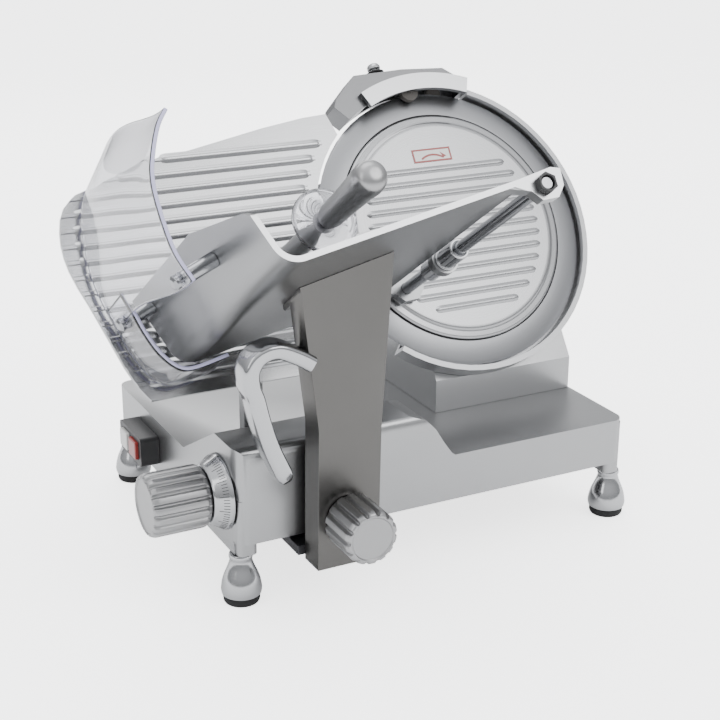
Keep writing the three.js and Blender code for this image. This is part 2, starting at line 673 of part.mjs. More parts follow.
const rollerEnds = roller.y.map((y) => [roller.x, y, roller.z]);
const carriageRodEnds = [2.5, 409.5].map((x) => [x, carriageRod.y, carriageRod.z]);
addNode("carriage_rod", rod(carriageRod.radius, ...carriageRodEnds, 32), steel);
const railX = [baseX[0] + wall + gap, baseX[1] - wall - gap];
addNode("support_rail", box(railX, [44, 52], [70, 78]), steel);
addNode("slider_block", makeSlider(), darkSteel);
addNode("rail_roller", tube(roller.radius, 3 + gap, ...rollerEnds, 28), whitePlastic);

// ---------------------------------------------------------------- tray
const across = (angle) => [Math.cos(radians(angle)), Math.sin(radians(angle))];
const floorWay = across(trayFloorAngle);
const wallWay = across(trayWallAngle);
const cornerAngle = trayWallAngle - trayFloorAngle;
const move = (point, ...steps) =>
  steps.reduce((p, [way, by]) => [p[0] + way[0] * by, p[1] + way[1] * by], point);

// The tray's L-shaped section: the underside with its round corner, set in by a distance.
function trayPath(inset, radius, wallLength, floorLength) {
  const shift = inset / Math.sin(radians(cornerAngle));
  const corner = move(trayCorner, [floorWay, shift], [wallWay, shift]);
  const reach = radius / Math.sin(radians(cornerAngle));
  const centre = move(corner, [floorWay, reach], [wallWay, reach]);
  const arc = [...Array(9).keys()].map((i) => {
    const angle = trayWallAngle + 90 + ((180 - cornerAngle) * i) / 8;
    return move(centre, [across(angle), radius]);
  });
  return [move(corner, [wallWay, wallLength - shift]), ...arc, move(corner, [floorWay, floorLength - shift])];
}

const trayFloorLength = 236;
const trayWallLength = 76.5;

function makeTray() {
  const outer = trayPath(0, 22, trayWallLength, trayFloorLength);
  const inner = trayPath(trayThickness, 17, trayWallLength, trayFloorLength);
  const sheet = slab([...outer, ...inner.reverse()], trayDepth);
  const lowered = [[-33.5, 188], [-54, 286], [-60, 297], [0, 300], [0, 188]];
  const wallTop = slab(lowered, [-380, -300], "yz");
  const lugOutline = [
    [-118, -63.8], [-118, -59.2], [-72, -49], [-63, -51], [-64, -66], [-72, -76], [-88, -77], [-97, -68],
  ];
  const outerLug = slab(lugOutline, [trayDepth[1] - 11, trayDepth[1]]);
  const innerLug = slab(lugOutline, [trayDepth[0], trayDepth[0] + 10]);
  const rodHole = rod(pusherRod.radius + gap, [pusherRod.x, pusherRod.y, -5], [pusherRod.x, pusherRod.y, 310]);
  const boltHoles = guardBolts.map((bolt) => rod(guardBoltRadius + gap, ...guardBoltLine(bolt, -30, 60), 16));
  return cut(join(sheet, outerLug, innerLug), wallTop, rodHole, ...boltHoles);
}

// ---------------------------------------------------------------- clear hand guard
// Each bolt's distance from the blade's plane, its height up the end wall and its spacer's length.
const guardBolts = [
  { n: 34, up: 60, spacer: 27.7 },
  { n: 200, up: 46, spacer: 32.6 },
];
const guardBoltRadius = 3;
const guardDepth = [8, 222];
const guardTabEnd = 66;
const guardThickness = 3.6;
const guardNear = [[-377, -83], [-387, -56], [-391, -17], [-390, 8], [-384, 29], [-375, 50], [-365, 64]];
const guardFar = [[-381, -60], [-388, -38], [-393, -12], [-394, 15], [-391, 48], [-383, 72], [-368, 93]];
// The tab that carries on from the sheet and wraps under the tray's corner.
const guardTab = [
  [-388, -38], [-381, -60], [-375, -80], [-366, -100], [-353, -115], [-338, -118.5], [-304, -112],
];
const wallOut = across(trayWallAngle + 90); // out of the end wall's back

function guardBoltLine({ n, up }, from, to) {
  const start = move(trayCorner, [wallWay, up], [wallOut, from]);
  const end = move(trayCorner, [wallWay, up], [wallOut, to]);
  return [[...start, n], [...end, n]];
}

// A closed sheet of even thickness about a surface given on a grid.
function sheetSolid(surface, thickness, columns, rows) {
  const at = (u, v) => new THREE.Vector3(...surface(u, v));
  const side = (sign) => {
    const spots = [];
    for (let i = 0; i <= columns; i += 1) {
      for (let j = 0; j <= rows; j += 1) {
        const [u, v] = [i / columns, j / rows];
        const du = at(Math.min(u + 0.01, 1), v).sub(at(Math.max(u - 0.01, 0), v));
        const dv = at(u, Math.min(v + 0.01, 1)).sub(at(u, Math.max(v - 0.01, 0)));
        spots.push(at(u, v).addScaledVector(du.cross(dv).normalize(), (sign * thickness) / 2));
      }
    }
    return spots;
  };
  const vertices = [...side(1), ...side(-1)];
  const count = vertices.length / 2;
  const row = rows + 1;
  const faces = [];
  const quad = (a, b, c, d) => faces.push(a, b, c, a, c, d);
  for (let i = 0; i < columns; i += 1) {
    for (let j = 0; j < rows; j += 1) {
      const a = i * row + j;
      quad(a, a + row, a + row + 1, a + 1);
      quad(count + a, count + a + 1, count + a + row + 1, count + a + row);
    }
  }
  for (let i = 0; i < columns; i += 1) {
    const [a, b] = [i * row, i * row + rows];
    quad(a, count + a, count + a + row, a + row);
    quad(b, b + row, count + b + row, count + b);
  }
  for (let j = 0; j < rows; j += 1) {
    const [a, b] = [j, columns * row + j];
    quad(a, a + 1, count + a + 1, count + a);
    quad(b, count + b, count + b + 1, b + 1);
  }
  const geometry = new THREE.BufferGeometry().setFromPoints(vertices);
  geometry.setIndex(faces);
  return solid(geometry);
}

const curveOf = (list) => new THREE.CatmullRomCurve3(list.map(([x, y]) => new THREE.Vector3(x, y, 0)));

// The outline of a strip along a smooth route; half gives half its width from the share of the way.
function ribbon(route, steps, half) {
  const curve = curveOf(route);
  const edge = (side) =>
    [...Array(steps + 1).keys()].map((i) => {
      const here = curve.getPoint(i / steps);
      const way = curve.getTangent(i / steps);
      const reach = side * half(i / steps);
      return [here.x - way.y * reach, here.y + way.x * reach];
    });
  return [...edge(1), ...edge(-1).reverse()];
}

function makeGuard() {
  const near = curveOf(guardNear);
  const far = curveOf(guardFar);
  const surface = (u, v) => {
    const mixed = far.getPoint(u).lerp(near.getPoint(u), THREE.MathUtils.smoothstep(v, 0.25, 1));
    const n = guardDepth[0] + (guardDepth[1] - guardDepth[0]) * v;
    return [mixed.x, mixed.y + 9 * u ** 4 * Math.sin(Math.PI * v), n];
  };
  const sheet = sheetSolid(surface, guardThickness, 16, 6);
  const underTray = ribbon(guardTab, 18, () => guardThickness / 2);
  const holes = guardBolts.map((bolt) => rod(guardBoltRadius + gap, ...guardBoltLine(bolt, 10, 80), 16));
  return cut(join(sheet, slab(underTray, [guardDepth[0], guardTabEnd])), ...holes);
}

// A stepped bolt: nut inside the tray, spacer tube between wall and guard, head outside.
function makeGuardBolt(bolt) {
  const { spacer } = bolt;
  const shank = guardBoltRadius;
  const profile = [
    [0, -13], [6, -13], [6, -trayThickness - gap], [shank, -trayThickness - gap], [shank, gap],
    [7, gap], [7, spacer - gap], [shank, spacer - gap], [shank, spacer + 5.5],
    [6.5, spacer + 5.5], [6.5, spacer + 9], [4, spacer + 11], [0, spacer + 11],
  ];
  const [start, end] = guardBoltLine(bolt, 0, 1).map((p) => new THREE.Vector3(...p));
  const turn = new THREE.Quaternion().setFromUnitVectors(new THREE.Vector3(0, 0, 1), end.clone().sub(start));
  const matrix = new THREE.Matrix4().compose(start, turn, new THREE.Vector3(1, 1, 1));
  return turned(profile, "z", 14).transform(matrix.toArray());
}

addNode("tray", makeTray(), castAluminium, bladeFrame);
addNode("hand_guard", makeGuard(), clear, bladeFrame);
addNode("guard_bolt_inner", makeGuardBolt(guardBolts[0]), steel, bladeFrame);
addNode("guard_bolt_outer", makeGuardBolt(guardBolts[1]), steel, bladeFrame);

// ---------------------------------------------------------------- carriage arm, lock knob and handle
const armOutline = [
  [52.5, 43], [114.5, 43], [114.6, 91], [116, 172], [121, 250], [128, 350], [32, 350], [38, 308], [54, 180],
];
const armInner = [
  [56.5, 30], [110.5, 30], [110.6, 91], [112, 172], [117, 250], [124, 360], [36, 360], [42, 308], [58, 180],
];

// The space over the tray's underside, less the gap, in the working frame.
function aboveTray(drop) {
  const down = across(trayFloorAngle - 90);
  const start = move(trayCorner, [floorWay, -60], [down, drop]);
  const end = move(trayCorner, [floorWay, 320], [down, drop]);
  const outline = [start, end, move(end, [down, -150]), move(start, [down, -150])];
  return fromBladeFrame(slab(outline, [-60, 400]));
}

function makeArm() {
  const back = armFront + armDepth;
  const channel = cut(slab(armOutline, [armFront, back], "xz"), slab(armInner, [armFront + 4, 0], "xz"));
  const flange = slab(armOutline, [armFront, back + 16], "xz")
    .intersect(aboveTray(5.5 + gap))
    .intersect(box([0, 200], [-60, 0], [280, 360]));
  const screwHole = lockScrewHole();
  return cut(join(channel, flange), aboveTray(gap), screwHole);
}

function makeLockKnob() {
  const back = armFront - 1;
  const grip = slab(fluted(lockKnob.radius, 14, 3), [back - 5 - lockKnob.length, back - 5], "xz");
  const collar = rod(21, [0, back - 6, 0], [0, back, 0], 36);
  const screw = rod(lockKnob.screw, [0, back - 1, 0], [0, upright.y[1] + 1, 0], 20);
  return join(grip, collar, screw).translate([lockKnob.x, 0, lockKnob.z]);
}

const handleDepth = [-60, -33];

const handleRoute = [
  [50, 243], [34, 252], [16, 260], [0, 257], [-8, 246], [-8, 231], [-4, 219], [1, 198], [9, 172], [22, 141],
];

function makeHandle() {
  const halfWidth = (share) => 6.5 + 1.5 * Math.cos(Math.PI * share);
  const bar = slab(ribbon(handleRoute, 22, halfWidth), handleDepth, "xz");
  const clearOfArm = slab(armOutline, [-70, 0], "xz").translate([-gap, 0, 0]);
  return cut(bar, clearOfArm);
}

addNode("carriage_arm", makeArm(), brushedArm);
addNode("lock_knob", makeLockKnob(), castAluminium);
addNode("carriage_handle", makeHandle(), polished);

// ---------------------------------------------------------------- pusher
const onPusherRod = (n) => [pusherRod.x, pusherRod.y, n];
const sleeve = [70, 137];
const armSpan = [96, 106];

function makePusherSleeve() {
  const body = tube(10.2, pusherRod.radius + gap, onPusherRod(sleeve[0]), onPusherRod(sleeve[1]));
  const ends = [armSpan[0] - 2.5, armSpan[1] + gap].map((n) =>
    tube(11.5, 9, onPusherRod(n), onPusherRod(n + 2.2)),
  );
  return join(body, ...ends);
}

// The arm rises from its hub on the sleeve, crosses over the tray and carries the spiked plate.
function makePusherArm() {
  const [x, y] = pusherHandle;
  const hub = rod(14, onPusherRod(armSpan[0]), onPusherRod(armSpan[1]), 32);
  const handleEnd = [[x, y + 3], [x - 10, y], [x - 10, y - 12], [x, y - 14]];
  const outline = [[-74, -58], [-78, -36], [-96, -31], ...handleEnd, [-102, -40], [-92, -52]];
  const bar = slab(outline, armSpan);
  const bore = rod(10.2 + gap, onPusherRod(0), onPusherRod(200), 32);
  const plateOutline = [[-308, -92], [-306, -52], [-240, -34], [-140, -22], [-128, -30], [-130, -54]];
  const plate = slab(plateOutline, [armSpan[0] - 4, armSpan[0] + 0.5]);
  const spikes = [...Array(6).keys()].map((i) => {
    const spot = [-290 + i * 28, -76 + i * 6.6];
    return turned([[0, 0], [3, 0], [0.4, -9], [0, -9]], "z", 10).translate([...spot, armSpan[0] - 3.5]);
  });
  return join(cut(join(hub, bar), bore), plate, ...spikes);
}

function makePusherGrip() {
  const profile = [
    [0, 210], [10, 210], [11.5, 216], [12, 250], [13.5, 284],
    [14.6, 294], [13.8, 302], [10.5, 308], [5, 311], [0, 311.6],
  ];
  return turned(profile, "z", 24).translate([...pusherHandle, 0]);
}

const neckProfile = [
  [0, armSpan[1] + gap], [11, armSpan[1] + gap], [10, 150], [10.4, 199], [3, 199.2], [3, 209.7], [0, 209.7],
];
const discProfile = [[3.3, 200], [28, 200], [30, 201], [30, 203], [28, 204], [3.3, 204]];

const nutBore = rod(pusherRod.radius + gap, onPusherRod(290), onPusherRod(310));
const rodNut = cut(rod(9.5, onPusherRod(296.3), onPusherRod(303), 6), nutBore);
addNode("pusher_rod", rod(pusherRod.radius, onPusherRod(7.5), onPusherRod(301), 28), steel, bladeFrame);
addNode("rod_nut", rodNut, blackPlastic, bladeFrame);
addNode("pusher_sleeve", makePusherSleeve(), polished, bladeFrame);
addNode("pusher_arm", makePusherArm(), castAluminium, bladeFrame);
const onHandle = (body) => body.translate([...pusherHandle, 0]);
addNode("pusher_neck", onHandle(turned(neckProfile, "z", 24)), castAluminium, bladeFrame);
addNode("disc_guard", onHandle(turned(discProfile, "z", 32)), clear, bladeFrame);
addNode("pusher_grip", makePusherGrip(), castAluminium, bladeFrame);

// ---------------------------------------------------------------- origin under the middle of the machine
root.updateMatrixWorld(true);
const bounds = new THREE.Box3().setFromObject(root, true);
const machine = new THREE.Group();
root.position.set(-(bounds.min.x + bounds.max.x) / 2, -(bounds.min.y + bounds.max.y) / 2, -bounds.min.z);
machine.add(root);

export default machine;
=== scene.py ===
# %% [markdown]
# A gravity-feed food slicer in its studio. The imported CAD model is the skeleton: it gives every
# piece its size, place and joint. This script dresses it. Castings keep their CAD shape and get
# rounded edges, and the pieces whose beauty is a smooth curve, such as knobs, feet, the handle and
# the clear guard, are made again as fine surfaces worked out with numpy.

import json
import math

import bpy
import numpy as np
from mathutils import Matrix, Vector


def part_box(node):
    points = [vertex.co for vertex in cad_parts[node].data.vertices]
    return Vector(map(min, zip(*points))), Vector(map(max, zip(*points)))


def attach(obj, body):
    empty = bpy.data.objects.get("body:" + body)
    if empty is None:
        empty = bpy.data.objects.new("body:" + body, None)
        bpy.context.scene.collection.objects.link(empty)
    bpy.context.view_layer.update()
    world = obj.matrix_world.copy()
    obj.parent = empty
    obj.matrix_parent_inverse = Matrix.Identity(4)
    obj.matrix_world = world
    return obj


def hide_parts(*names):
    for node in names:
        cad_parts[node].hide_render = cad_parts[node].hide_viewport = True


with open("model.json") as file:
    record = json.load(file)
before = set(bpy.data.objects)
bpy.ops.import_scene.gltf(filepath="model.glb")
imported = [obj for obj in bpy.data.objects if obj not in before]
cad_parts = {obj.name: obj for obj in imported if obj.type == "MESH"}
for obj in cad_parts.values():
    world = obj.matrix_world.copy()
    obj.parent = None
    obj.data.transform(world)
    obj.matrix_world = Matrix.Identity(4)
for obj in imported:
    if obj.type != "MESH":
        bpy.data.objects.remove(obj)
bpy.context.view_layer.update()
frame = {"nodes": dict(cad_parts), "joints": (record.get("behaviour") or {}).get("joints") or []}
nodes = frame["nodes"]

# %% [markdown]
# Two rulers are used below. The working frame is in millimetres from the point under the front-left
# foot. The blade frame is for everything on the blade's slope: x along the carriage's travel, t up
# the slope and n out of the cutting face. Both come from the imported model: the foot's box gives the
# first, and the blade's joint gives the second.

# %% Rulers
MM = 0.001
foot_low, foot_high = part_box("foot_pad_front_left")
HOME = np.array([(foot_low.x + foot_high.x) / 2, (foot_low.y + foot_high.y) / 2, 0.0])
joints = {joint["name"]: joint for joint in frame["joints"]}
CENTRE = np.array(joints["blade_spin"]["pos_m"])
ALONG = np.array([1.0, 0.0, 0.0])
OUT = np.array(joints["blade_spin"]["axis"])
UP_SLOPE = np.cross(OUT, ALONG)


def on_machine(points):
    """Working-frame millimetres to the model's metres: scaled down and moved to the foot."""
    return np.asarray(points, float) * MM + HOME


def on_slope(points):
    """Blade-frame millimetres to the model's metres: centre + x * ALONG + t * UP_SLOPE + n * OUT."""
    return np.asarray(points, float) * MM @ np.array([ALONG, UP_SLOPE, OUT]) + CENTRE


print("blade centre", CENTRE.round(4), "leans back", round(math.degrees(math.acos(UP_SLOPE[2])), 2))

# %% [markdown]
# Materials. Nearly everything is aluminium, so the differences between finishes carry the look:
# satin castings, a coarsely brushed column, turned rings on the blade, polished feet. Three shader
# groups do the work. Each is built once and placed in a material with its own values.

# %% Shader groups
def group(name, inputs, outputs):
    """A new shader node group with named sockets, and its input and output nodes."""
    tree = bpy.data.node_groups.new(name, "ShaderNodeTree")
    for label, kind, value in inputs:
        socket = tree.interface.new_socket(name=label, in_out="INPUT", socket_type=kind)
        socket.default_value = value
    for label, kind in outputs:
        tree.interface.new_socket(name=label, in_out="OUTPUT", socket_type=kind)
    return tree, tree.nodes.new("NodeGroupInput"), tree.nodes.new("NodeGroupOutput")


def wire(tree, *links):
    """Joins sockets in pairs."""
    for source, target in links:
        tree.links.new(source, target)


def noise_node(tree, scale, detail, roughness=0.5):
    node = tree.nodes.new("ShaderNodeTexNoise")
    node.inputs["Scale"].default_value = scale
    node.inputs["Detail"].default_value = detail
    node.inputs["Roughness"].default_value = roughness
    return node


def range_node(tree, low, high, start=0.0, end=1.0):
    node = tree.nodes.new("ShaderNodeMapRange")
    for label, value in (("From Min", start), ("From Max", end), ("To Min", low), ("To Max", high)):
        node.inputs[label].default_value = value
    return node


def make_grain_group():
    """Fine grain: noise whose coordinates are stretched, so that it draws out into brush lines."""
    tree, ins, outs = group(
        "Brushed grain",
        [("Vector", "NodeSocketVector", (0, 0, 0)), ("Stretch", "NodeSocketVector", (1, 1, 1)),
         ("Scale", "NodeSocketFloat", 400.0)],
        [("Grain", "NodeSocketFloat")],
    )
    stretched = tree.nodes.new("ShaderNodeVectorMath")
    stretched.operation = "MULTIPLY"
    fine = noise_node(tree, 400.0, 5.0, 0.65)
    wire(
        tree,
        (ins.outputs["Vector"], stretched.inputs[0]),
        (ins.outputs["Stretch"], stretched.inputs[1]),
        (stretched.outputs["Vector"], fine.inputs["Vector"]),
        (ins.outputs["Scale"], fine.inputs["Scale"]),
        (fine.outputs["Fac"], outs.inputs["Grain"]),
    )
    return tree


def make_cloud_group():
    """Soft cloudiness: broad noise for uneven finish plus a finer layer for handling marks."""
    tree, ins, outs = group(
        "Uneven finish",
        [("Vector", "NodeSocketVector", (0, 0, 0)), ("Size", "NodeSocketFloat", 9.0)],
        [("Cloud", "NodeSocketFloat"), ("Smudge", "NodeSocketFloat")],
    )
    broad = noise_node(tree, 9.0, 3.0)
    spots = noise_node(tree, 55.0, 6.0, 0.7)
    smudge = range_node(tree, 0.0, 1.0, 0.45, 0.7)
    wire(
        tree,
        (ins.outputs["Vector"], broad.inputs["Vector"]),
        (ins.outputs["Size"], broad.inputs["Scale"]),
        (ins.outputs["Vector"], spots.inputs["Vector"]),
        (spots.outputs["Fac"], smudge.inputs["Value"]),
        (broad.outputs["Fac"], outs.inputs["Cloud"]),
        (smudge.outputs["Result"], outs.inputs["Smudge"]),
    )
    return tree


def make_turned_group():
    """Turned rings: x is the distance from the axis through Centre, y the height along the axis."""
    tree, ins, outs = group(
        "Turned rings",
        [("Vector", "NodeSocketVector", (0, 0, 0)), ("Centre", "NodeSocketVector", (0, 0, 0)),
         ("Axis", "NodeSocketVector", (0, 0, 1))],
        [("Vector", "NodeSocketVector")],
    )
    arm = tree.nodes.new("ShaderNodeVectorMath")
    arm.operation = "SUBTRACT"
    along = tree.nodes.new("ShaderNodeVectorMath")
    along.operation = "DOT_PRODUCT"
    length = tree.nodes.new("ShaderNodeVectorMath")
    length.operation = "LENGTH"
    squares = [tree.nodes.new("ShaderNodeMath") for _ in range(2)]
    for node in squares:
        node.operation = "POWER"
        node.inputs[1].default_value = 2.0
    difference = tree.nodes.new("ShaderNodeMath")
    difference.operation = "SUBTRACT"
    root = tree.nodes.new("ShaderNodeMath")
    root.operation = "SQRT"
    pack = tree.nodes.new("ShaderNodeCombineXYZ")
    wire(
        tree,
        (ins.outputs["Vector"], arm.inputs[0]),
        (ins.outputs["Centre"], arm.inputs[1]),
        (arm.outputs["Vector"], along.inputs[0]),
        (ins.outputs["Axis"], along.inputs[1]),
        (arm.outputs["Vector"], length.inputs[0]),
        (length.outputs["Value"], squares[0].inputs[0]),
        (along.outputs["Value"], squares[1].inputs[0]),
        (squares[0].outputs["Value"], difference.inputs[0]),
        (squares[1].outputs["Value"], difference.inputs[1]),
        (difference.outputs["Value"], root.inputs[0]),
        (root.outputs["Value"], pack.inputs["X"]),
        (along.outputs["Value"], pack.inputs["Y"]),
        (pack.outputs["Vector"], outs.inputs["Vector"]),
    )
    return tree


GRAIN = make_grain_group()
CLOUD = make_cloud_group()
TURNED = make_turned_group()
print("shader groups", [tree.name for tree in (GRAIN, CLOUD, TURNED)])

# %% [markdown]
# One recipe then makes every opaque finish. The grain moves the roughness and the bump, the clouds
# move the colour a little, and a stretch gives the brush its direction. A turned piece first swaps
# its coordinates for rings about its own axis.

# %% Finish recipe
def place_group(tree, source, **values):
    node = tree.nodes.new("ShaderNodeGroup")
    node.node_tree = source
    for label, value in values.items():
        node.inputs[label].default_value = value
    return node


def finish_material(name, colour, roughness, *, metallic=1.0, scale=420.0, stretch=(1, 1, 1), bump=0.2,
                    uneven=0.06, rough_spread=0.025, turned=None, coat=0.0):
    """A procedural finish. turned is (centre, axis) for a piece made on a lathe."""
    material = bpy.data.materials.new(name)
    material.use_nodes = True
    tree = material.node_tree
    shader = tree.nodes["Principled BSDF"]
    shader.inputs["Metallic"].default_value = metallic
    shader.inputs["Coat Weight"].default_value = coat
    coordinates = tree.nodes.new("ShaderNodeTexCoord").outputs["Object"]
    pattern = coordinates
    if turned is not None:
        rings = place_group(tree, TURNED, Centre=tuple(turned[0]), Axis=tuple(turned[1]))
        wire(tree, (coordinates, rings.inputs["Vector"]))
        pattern = rings.outputs["Vector"]
    grain = place_group(tree, GRAIN, Stretch=stretch, Scale=scale)
    clouds = place_group(tree, CLOUD, Size=9.0)
    tint = tree.nodes.new("ShaderNodeMix")
    tint.data_type = "RGBA"
    tint.inputs["A"].default_value = (*[c * (1 - uneven) for c in colour], 1)
    tint.inputs["B"].default_value = (*[min(1.0, c * (1 + uneven)) for c in colour], 1)
    low, high = roughness - rough_spread, roughness + rough_spread
    rough = range_node(tree, max(low, 0.03), high, 0.3, 0.7)
    relief = tree.nodes.new("ShaderNodeBump")
    relief.inputs["Strength"].default_value = bump
    relief.inputs["Distance"].default_value = 0.0003
    wire(
        tree,
        (pattern, grain.inputs["Vector"]),
        (coordinates, clouds.inputs["Vector"]),
        (clouds.outputs["Cloud"], tint.inputs["Factor"]),
        (tint.outputs["Result"], shader.inputs["Base Color"]),
        (grain.outputs["Grain"], rough.inputs["Value"]),
        (rough.outputs["Result"], shader.inputs["Roughness"]),
        (grain.outputs["Grain"], relief.inputs["Height"]),
        (relief.outputs["Normal"], shader.inputs["Normal"]),
    )
    return material


def clear_material(name, colour, roughness, index):
    """Clear acrylic: plain transmission, and a faint grain in the roughness from handling."""
    material = bpy.data.materials.new(name)
    material.use_nodes = True
    tree = material.node_tree
    shader = tree.nodes["Principled BSDF"]
    shader.inputs["Metallic"].default_value = 0.0
    shader.inputs["Transmission Weight"].default_value = 1.0
    shader.inputs["IOR"].default_value = index
    shader.inputs["Base Color"].default_value = (*colour, 1)
    coordinates = tree.nodes.new("ShaderNodeTexCoord").outputs["Object"]
    clouds = place_group(tree, CLOUD, Size=14.0)
    rough = range_node(tree, roughness, roughness + 0.04)
    wire(
        tree,
        (coordinates, clouds.inputs["Vector"]),
        (clouds.outputs["Smudge"], rough.inputs["Value"]),
        (rough.outputs["Result"], shader.inputs["Roughness"]),
    )
    return material


# %% [markdown]
# The colours are those of bare metal under soft light, with two painted ones: the sharpener cover is a
# darker grey for painted shade, and a brighter copy of the aluminium is a painted highlight on a few flat
# faces. Cast parts are a satin silver, the column is a warmer and darker grey with a coarse upright brush,
# and the blade has the finest rings of all.

# %% Materials
BLADE_AXIS = (CENTRE, OUT)
CAST = finish_material("Satin cast aluminium", (0.37, 0.373, 0.378), 0.3, stretch=(0.25, 1, 1),
                       scale=650, bump=0.008)
# Painted shade: the sharpener cover is the cast aluminium made darker, for the shade on its tilted top.
SHADED_CAST = finish_material("Cast aluminium with painted shade", (0.2, 0.202, 0.207), 0.34, stretch=(0.4, 1, 1), scale=650,
                            bump=0.012)
GAUGE = finish_material("Brushed gauge plate", (0.45, 0.454, 0.462), 0.24, stretch=(0.05, 1, 1),
                        scale=900, bump=0.03)
TRAY = finish_material("Satin tray", (0.31, 0.313, 0.318), 0.3, stretch=(0.12, 1, 1), scale=700, bump=0.012)
# Painted highlight: the same aluminium made brighter, for flat faces that catch the key light.
PAINTED_HIGHLIGHT = finish_material("Painted highlight face", (0.62, 0.625, 0.635), 0.3, scale=700, bump=0.03, uneven=0.03)
COLUMN = finish_material("Brushed column", (0.125, 0.122, 0.117), 0.34, stretch=(1, 1, 0.04),
                         scale=800, bump=0.12, uneven=0.12)
POLISHED = finish_material("Polished metal", (0.46, 0.465, 0.475), 0.14, scale=300, bump=0.006,
                           uneven=0.04, rough_spread=0.04)
KNOB = finish_material("Knob aluminium", (0.36, 0.36, 0.363), 0.33, scale=900, bump=0.008)
BRIGHT_STEEL = finish_material("Bright steel", (0.36, 0.367, 0.38), 0.18, scale=500, bump=0.01, uneven=0.06)
BLADE_STEEL = finish_material("Ground blade steel", (0.33, 0.334, 0.345), 0.34, stretch=(1, 0.02, 1),
                              scale=1500, bump=0.02, uneven=0.05, turned=BLADE_AXIS)
RING_STEEL = finish_material("Turned ring guard", (0.42, 0.424, 0.432), 0.36, stretch=(1, 0.02, 1),
                             scale=1200, bump=0.02, uneven=0.05, turned=BLADE_AXIS)
COVER = finish_material("Satin blade cover", (0.4, 0.404, 0.412), 0.28, stretch=(1, 0.02, 1),
                        scale=900, bump=0.025, turned=BLADE_AXIS)
DARK = finish_material("Dark metal", (0.06, 0.06, 0.065), 0.45, scale=500, bump=0.15)
BLACK = finish_material("Black plastic", (0.009, 0.009, 0.01), 0.4, metallic=0.0, scale=1200, bump=0.1)
RUBBER = finish_material("Black rubber", (0.006, 0.006, 0.0065), 0.75, metallic=0.0, scale=900, bump=0.25)
RED = finish_material("Red plastic", (0.2, 0.016, 0.012), 0.3, metallic=0.0, scale=700, bump=0.03, coat=0.4)
WHITE = finish_material("White plastic", (0.5, 0.5, 0.48), 0.32, metallic=0.0, scale=700, bump=0.03,
                        coat=0.3)
STONE = finish_material("Grinding stone", (0.07, 0.065, 0.06), 0.9, metallic=0.0, scale=1500, bump=0.6,
                        uneven=0.3)
CLEAR = clear_material("Clear acrylic", (0.95, 0.95, 0.985), 0.02, 1.46)
RIM_CLEAR = finish_material("Acrylic cut edge", (0.4, 0.39, 0.56), 0.35, metallic=0.0, scale=40,
                            bump=0.0, uneven=0.03)

FINISHES = {
    CAST: ["base_housing", "blade_stand", "gauge_bracket", "gauge_guide", "rear_cover", "pusher_arm",
           "slice_deflector"],
    SHADED_CAST: ["sharpener_cover"],
    GAUGE: ["gauge_plate"],
    TRAY: ["tray"],
    COLUMN: ["carriage_arm"],
    KNOB: ["thickness_knob", "lock_knob", "pusher_neck", "pusher_grip"],
    POLISHED: ["dial_ring", "carriage_handle", "pusher_sleeve", "stone_button", "foot_bell_front_left",
               "foot_bell_front_right", "foot_bell_back_left", "foot_bell_back_right"],
    BRIGHT_STEEL: ["dial_shaft", "gauge_rod", "blade_shaft", "front_bearing", "rear_bearing", "cover_rod",
                   "sharpener_post", "carriage_rod", "support_rail", "guard_bolt_inner", "guard_bolt_outer",
                   "pusher_rod"],
    BLADE_STEEL: ["blade"],
    RING_STEEL: ["blade_housing"],
    COVER: ["blade_cover"],
    DARK: ["bottom_cover", "dial_cam", "hub_pulley", "motor_pulley", "motor", "slider_block"],
    BLACK: ["switch_box", "cover_knob", "rod_nut"],
    RUBBER: ["cord_gland", "drive_belt", "foot_pad_front_left", "foot_pad_front_right",
             "foot_pad_back_left", "foot_pad_back_right"],
    RED: ["stop_button"],
    WHITE: ["start_button", "rail_roller"],
    STONE: ["grinding_stone", "honing_stone"],
    CLEAR: ["hand_guard", "disc_guard"],
}
painted = {node for names in FINISHES.values() for node in names}
print("nodes without a finish:", sorted(set(nodes) - painted))

# %% [markdown]
# A casting has no sharp edge: sand and polish round it. The CAD pieces keep their vertices, and
# two modifiers finish them. Weld joins the faces, and Bevel rounds only the edges that turn by more
# than the limit, so that round walls stay as they are. Hardened normals keep flat faces flat.

# %% Round the edges of the CAD pieces
EDGE_ROUNDING = {"base_housing": 2.2, "blade_stand": 2.2, "tray": 1.3, "carriage_arm": 1.6,
                 "sharpener_cover": 1.6, "gauge_plate": 0.5, "blade_housing": 0.7, "blade": 0.1,
                 "switch_box": 1.0, "pusher_arm": 1.2, "rear_cover": 1.5, "slider_block": 0.8, "motor": 1.0,
                 "start_button": 1.6, "stop_button": 1.6}
PLAIN_ROUNDING = 0.4
SHARP_TURN = math.radians(32)
ROUNDING_STEPS = 3
WELD_REACH = 1e-5


def soften(piece, width):
    """Weld, then round edges that turn more than SHARP_TURN to the width in millimetres."""
    weld = piece.modifiers.new("Weld", "WELD")
    weld.merge_threshold = WELD_REACH
    bevel = piece.modifiers.new("Rounded edges", "BEVEL")
    bevel.width = width * MM
    bevel.segments = ROUNDING_STEPS
    bevel.limit_method = "ANGLE"
    bevel.angle_limit = SHARP_TURN
    bevel.harden_normals = True
    bevel.use_clamp_overlap = True
    piece.data.shade_smooth()


def paint(piece, material):
    piece.data.materials.clear()
    piece.data.materials.append(material)


for material, names in FINISHES.items():
    for name in names:
        piece = nodes[name]
        if "custom_normal" in piece.data.attributes:
            piece.data.attributes.remove(piece.data.attributes["custom_normal"])
        paint(piece, material)
        soften(piece, EDGE_ROUNDING.get(name, PLAIN_ROUNDING))
print("rounded", len(painted), "CAD pieces")


TRAY_EDGE, LIP_FACE = 296, 15  # millimetres out of the blade's plane
FACE_TOLERANCE = 0.5
FACING = 0.99  # cosine of the largest tilt that still counts as flat


